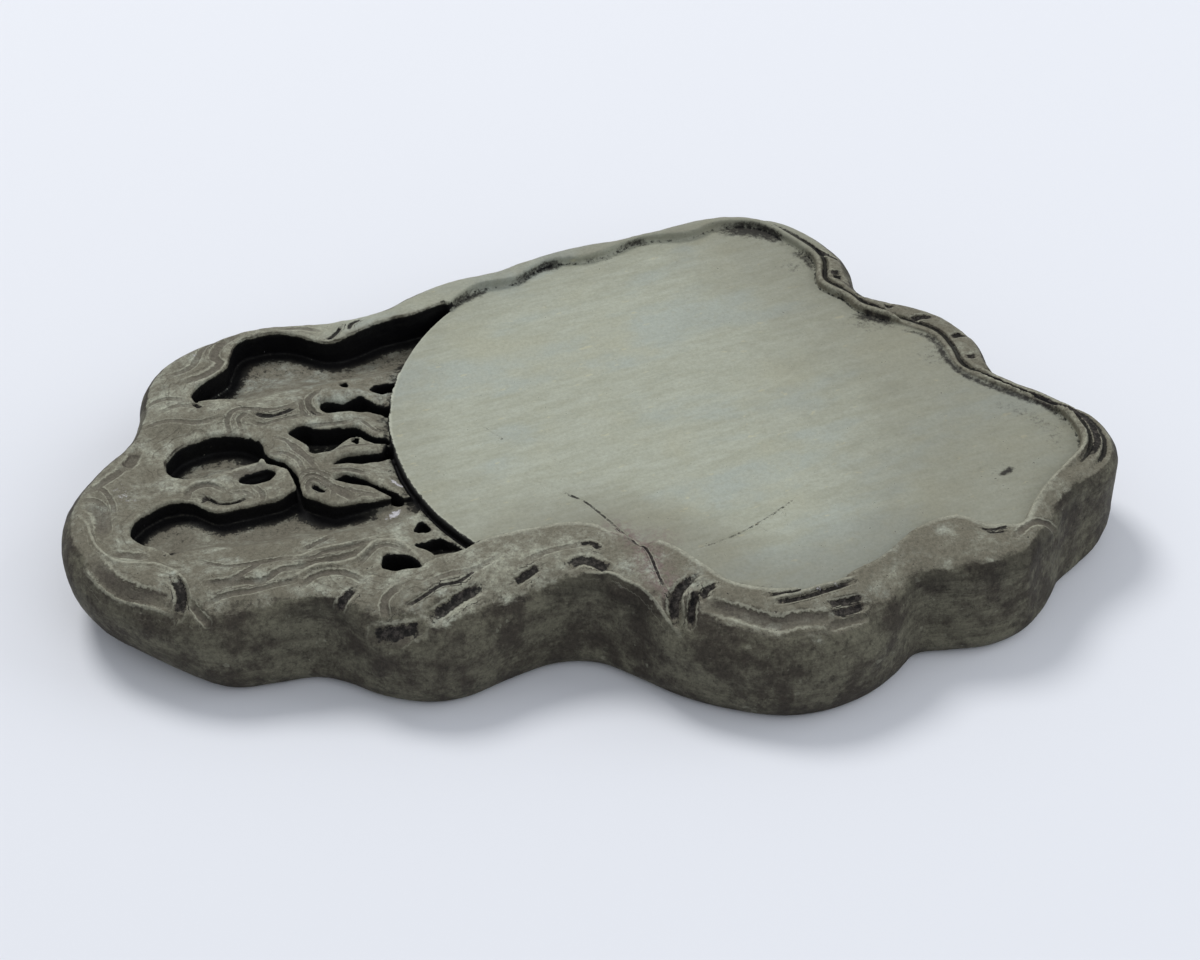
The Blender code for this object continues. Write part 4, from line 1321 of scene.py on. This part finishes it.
# Lamps: name, place, size, power, colour
LAMPS = [
    ("key", (-0.42, 1.25, 1.85), 0.8, 27.5, (1.0, 0.99, 0.97)),
    ("fill", (0.4, -1.2, 1.3), 1.6, 5.0, (0.95, 0.97, 1.0)),
    ("right_fill", (1.3, -0.2, 0.75), 1.2, 5.4, (0.96, 0.98, 1.0)),
]

# The camera: place in the carving's millimetres, degrees down and to the right of y, and lens
CAMERA_PLACE = (-128.42, -440.57, 398.62)
CAMERA_DOWN = 40.0
CAMERA_ACROSS = 17.0
LENS = 72.0
SENSOR = 36.0


def add_floor():
    mesh = bpy.data.meshes.new("floor")
    corners = [(-1, -1), (1, -1), (1, 1), (-1, 1)]
    mesh.from_pydata([(FLOOR_HALF * x, FLOOR_HALF * y, 0) for x, y in corners], [], [(0, 1, 2, 3)])
    floor = bpy.data.objects.new("floor", mesh)
    bpy.context.scene.collection.objects.link(floor)
    floor.data.materials.append(plain_material("pale_cloth", rgb(*FLOOR_COLOUR), 0.9))


def add_light(name, place, size, power, colour):
    """A soft round lamp that points at the middle of the scene."""
    data = bpy.data.lights.new(name, "AREA")
    data.shape = "DISK"
    data.size = size
    data.energy = power
    data.color = colour
    light = bpy.data.objects.new(name, data)
    light.location = place
    light.rotation_euler = (-Vector(place)).to_track_quat("-Z", "Y").to_euler()
    bpy.context.scene.collection.objects.link(light)


def add_lights():
    for lamp in LAMPS:
        add_light(*lamp)
    world = bpy.data.worlds.new("soft_room")
    world.use_nodes = True
    background = world.node_tree.nodes["Background"]
    background.inputs["Color"].default_value = ROOM_COLOUR
    background.inputs["Strength"].default_value = ROOM_STRENGTH
    bpy.context.scene.world = world
    bpy.context.scene.view_settings.view_transform = "Standard"


def add_camera(middle):
    """Looks down on the stone from its front left."""
    down, across = math.radians(CAMERA_DOWN), math.radians(CAMERA_ACROSS)
    level = math.cos(down)
    forward = Vector((math.sin(across) * level, math.cos(across) * level, -math.sin(down)))
    data = bpy.data.cameras.new("camera")
    data.lens = LENS
    data.sensor_width = SENSOR
    data.clip_end = 20.0
    camera = bpy.data.objects.new("camera", data)
    x, y, z = CAMERA_PLACE
    camera.location = Vector((x - middle[0], y - middle[1], z)) * MM
    camera.rotation_euler = forward.to_track_quat("-Z", "Y").to_euler()
    bpy.context.scene.collection.objects.link(camera)
    bpy.context.scene.camera = camera


# ---------------------------------------------------------------- the object


def build_stone(outline, middle):
    """Carves the stone, colours it and puts it on the middle of its box."""
    grid = Grid(outline)
    field, maps = stone_field(grid, outline)
    stone = stone_mesh(grid, field, maps)
    mask_stone(grid, field, maps, stone.data)
    stone.data.transform(Matrix.Scale(MM, 4) @ Matrix.Translation((-middle[0], -middle[1], 0.0)))
    stone.data.materials.clear()
    stone.data.materials.append(stone_material())
    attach(stone, "root")
    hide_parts("inkstone")


outline = spline(OUTLINE, 6, closed=True)
middle = (outline.min(0) + outline.max(0)) / 2.0
build_stone(outline, middle)
add_floor()
add_lights()
add_camera(middle)
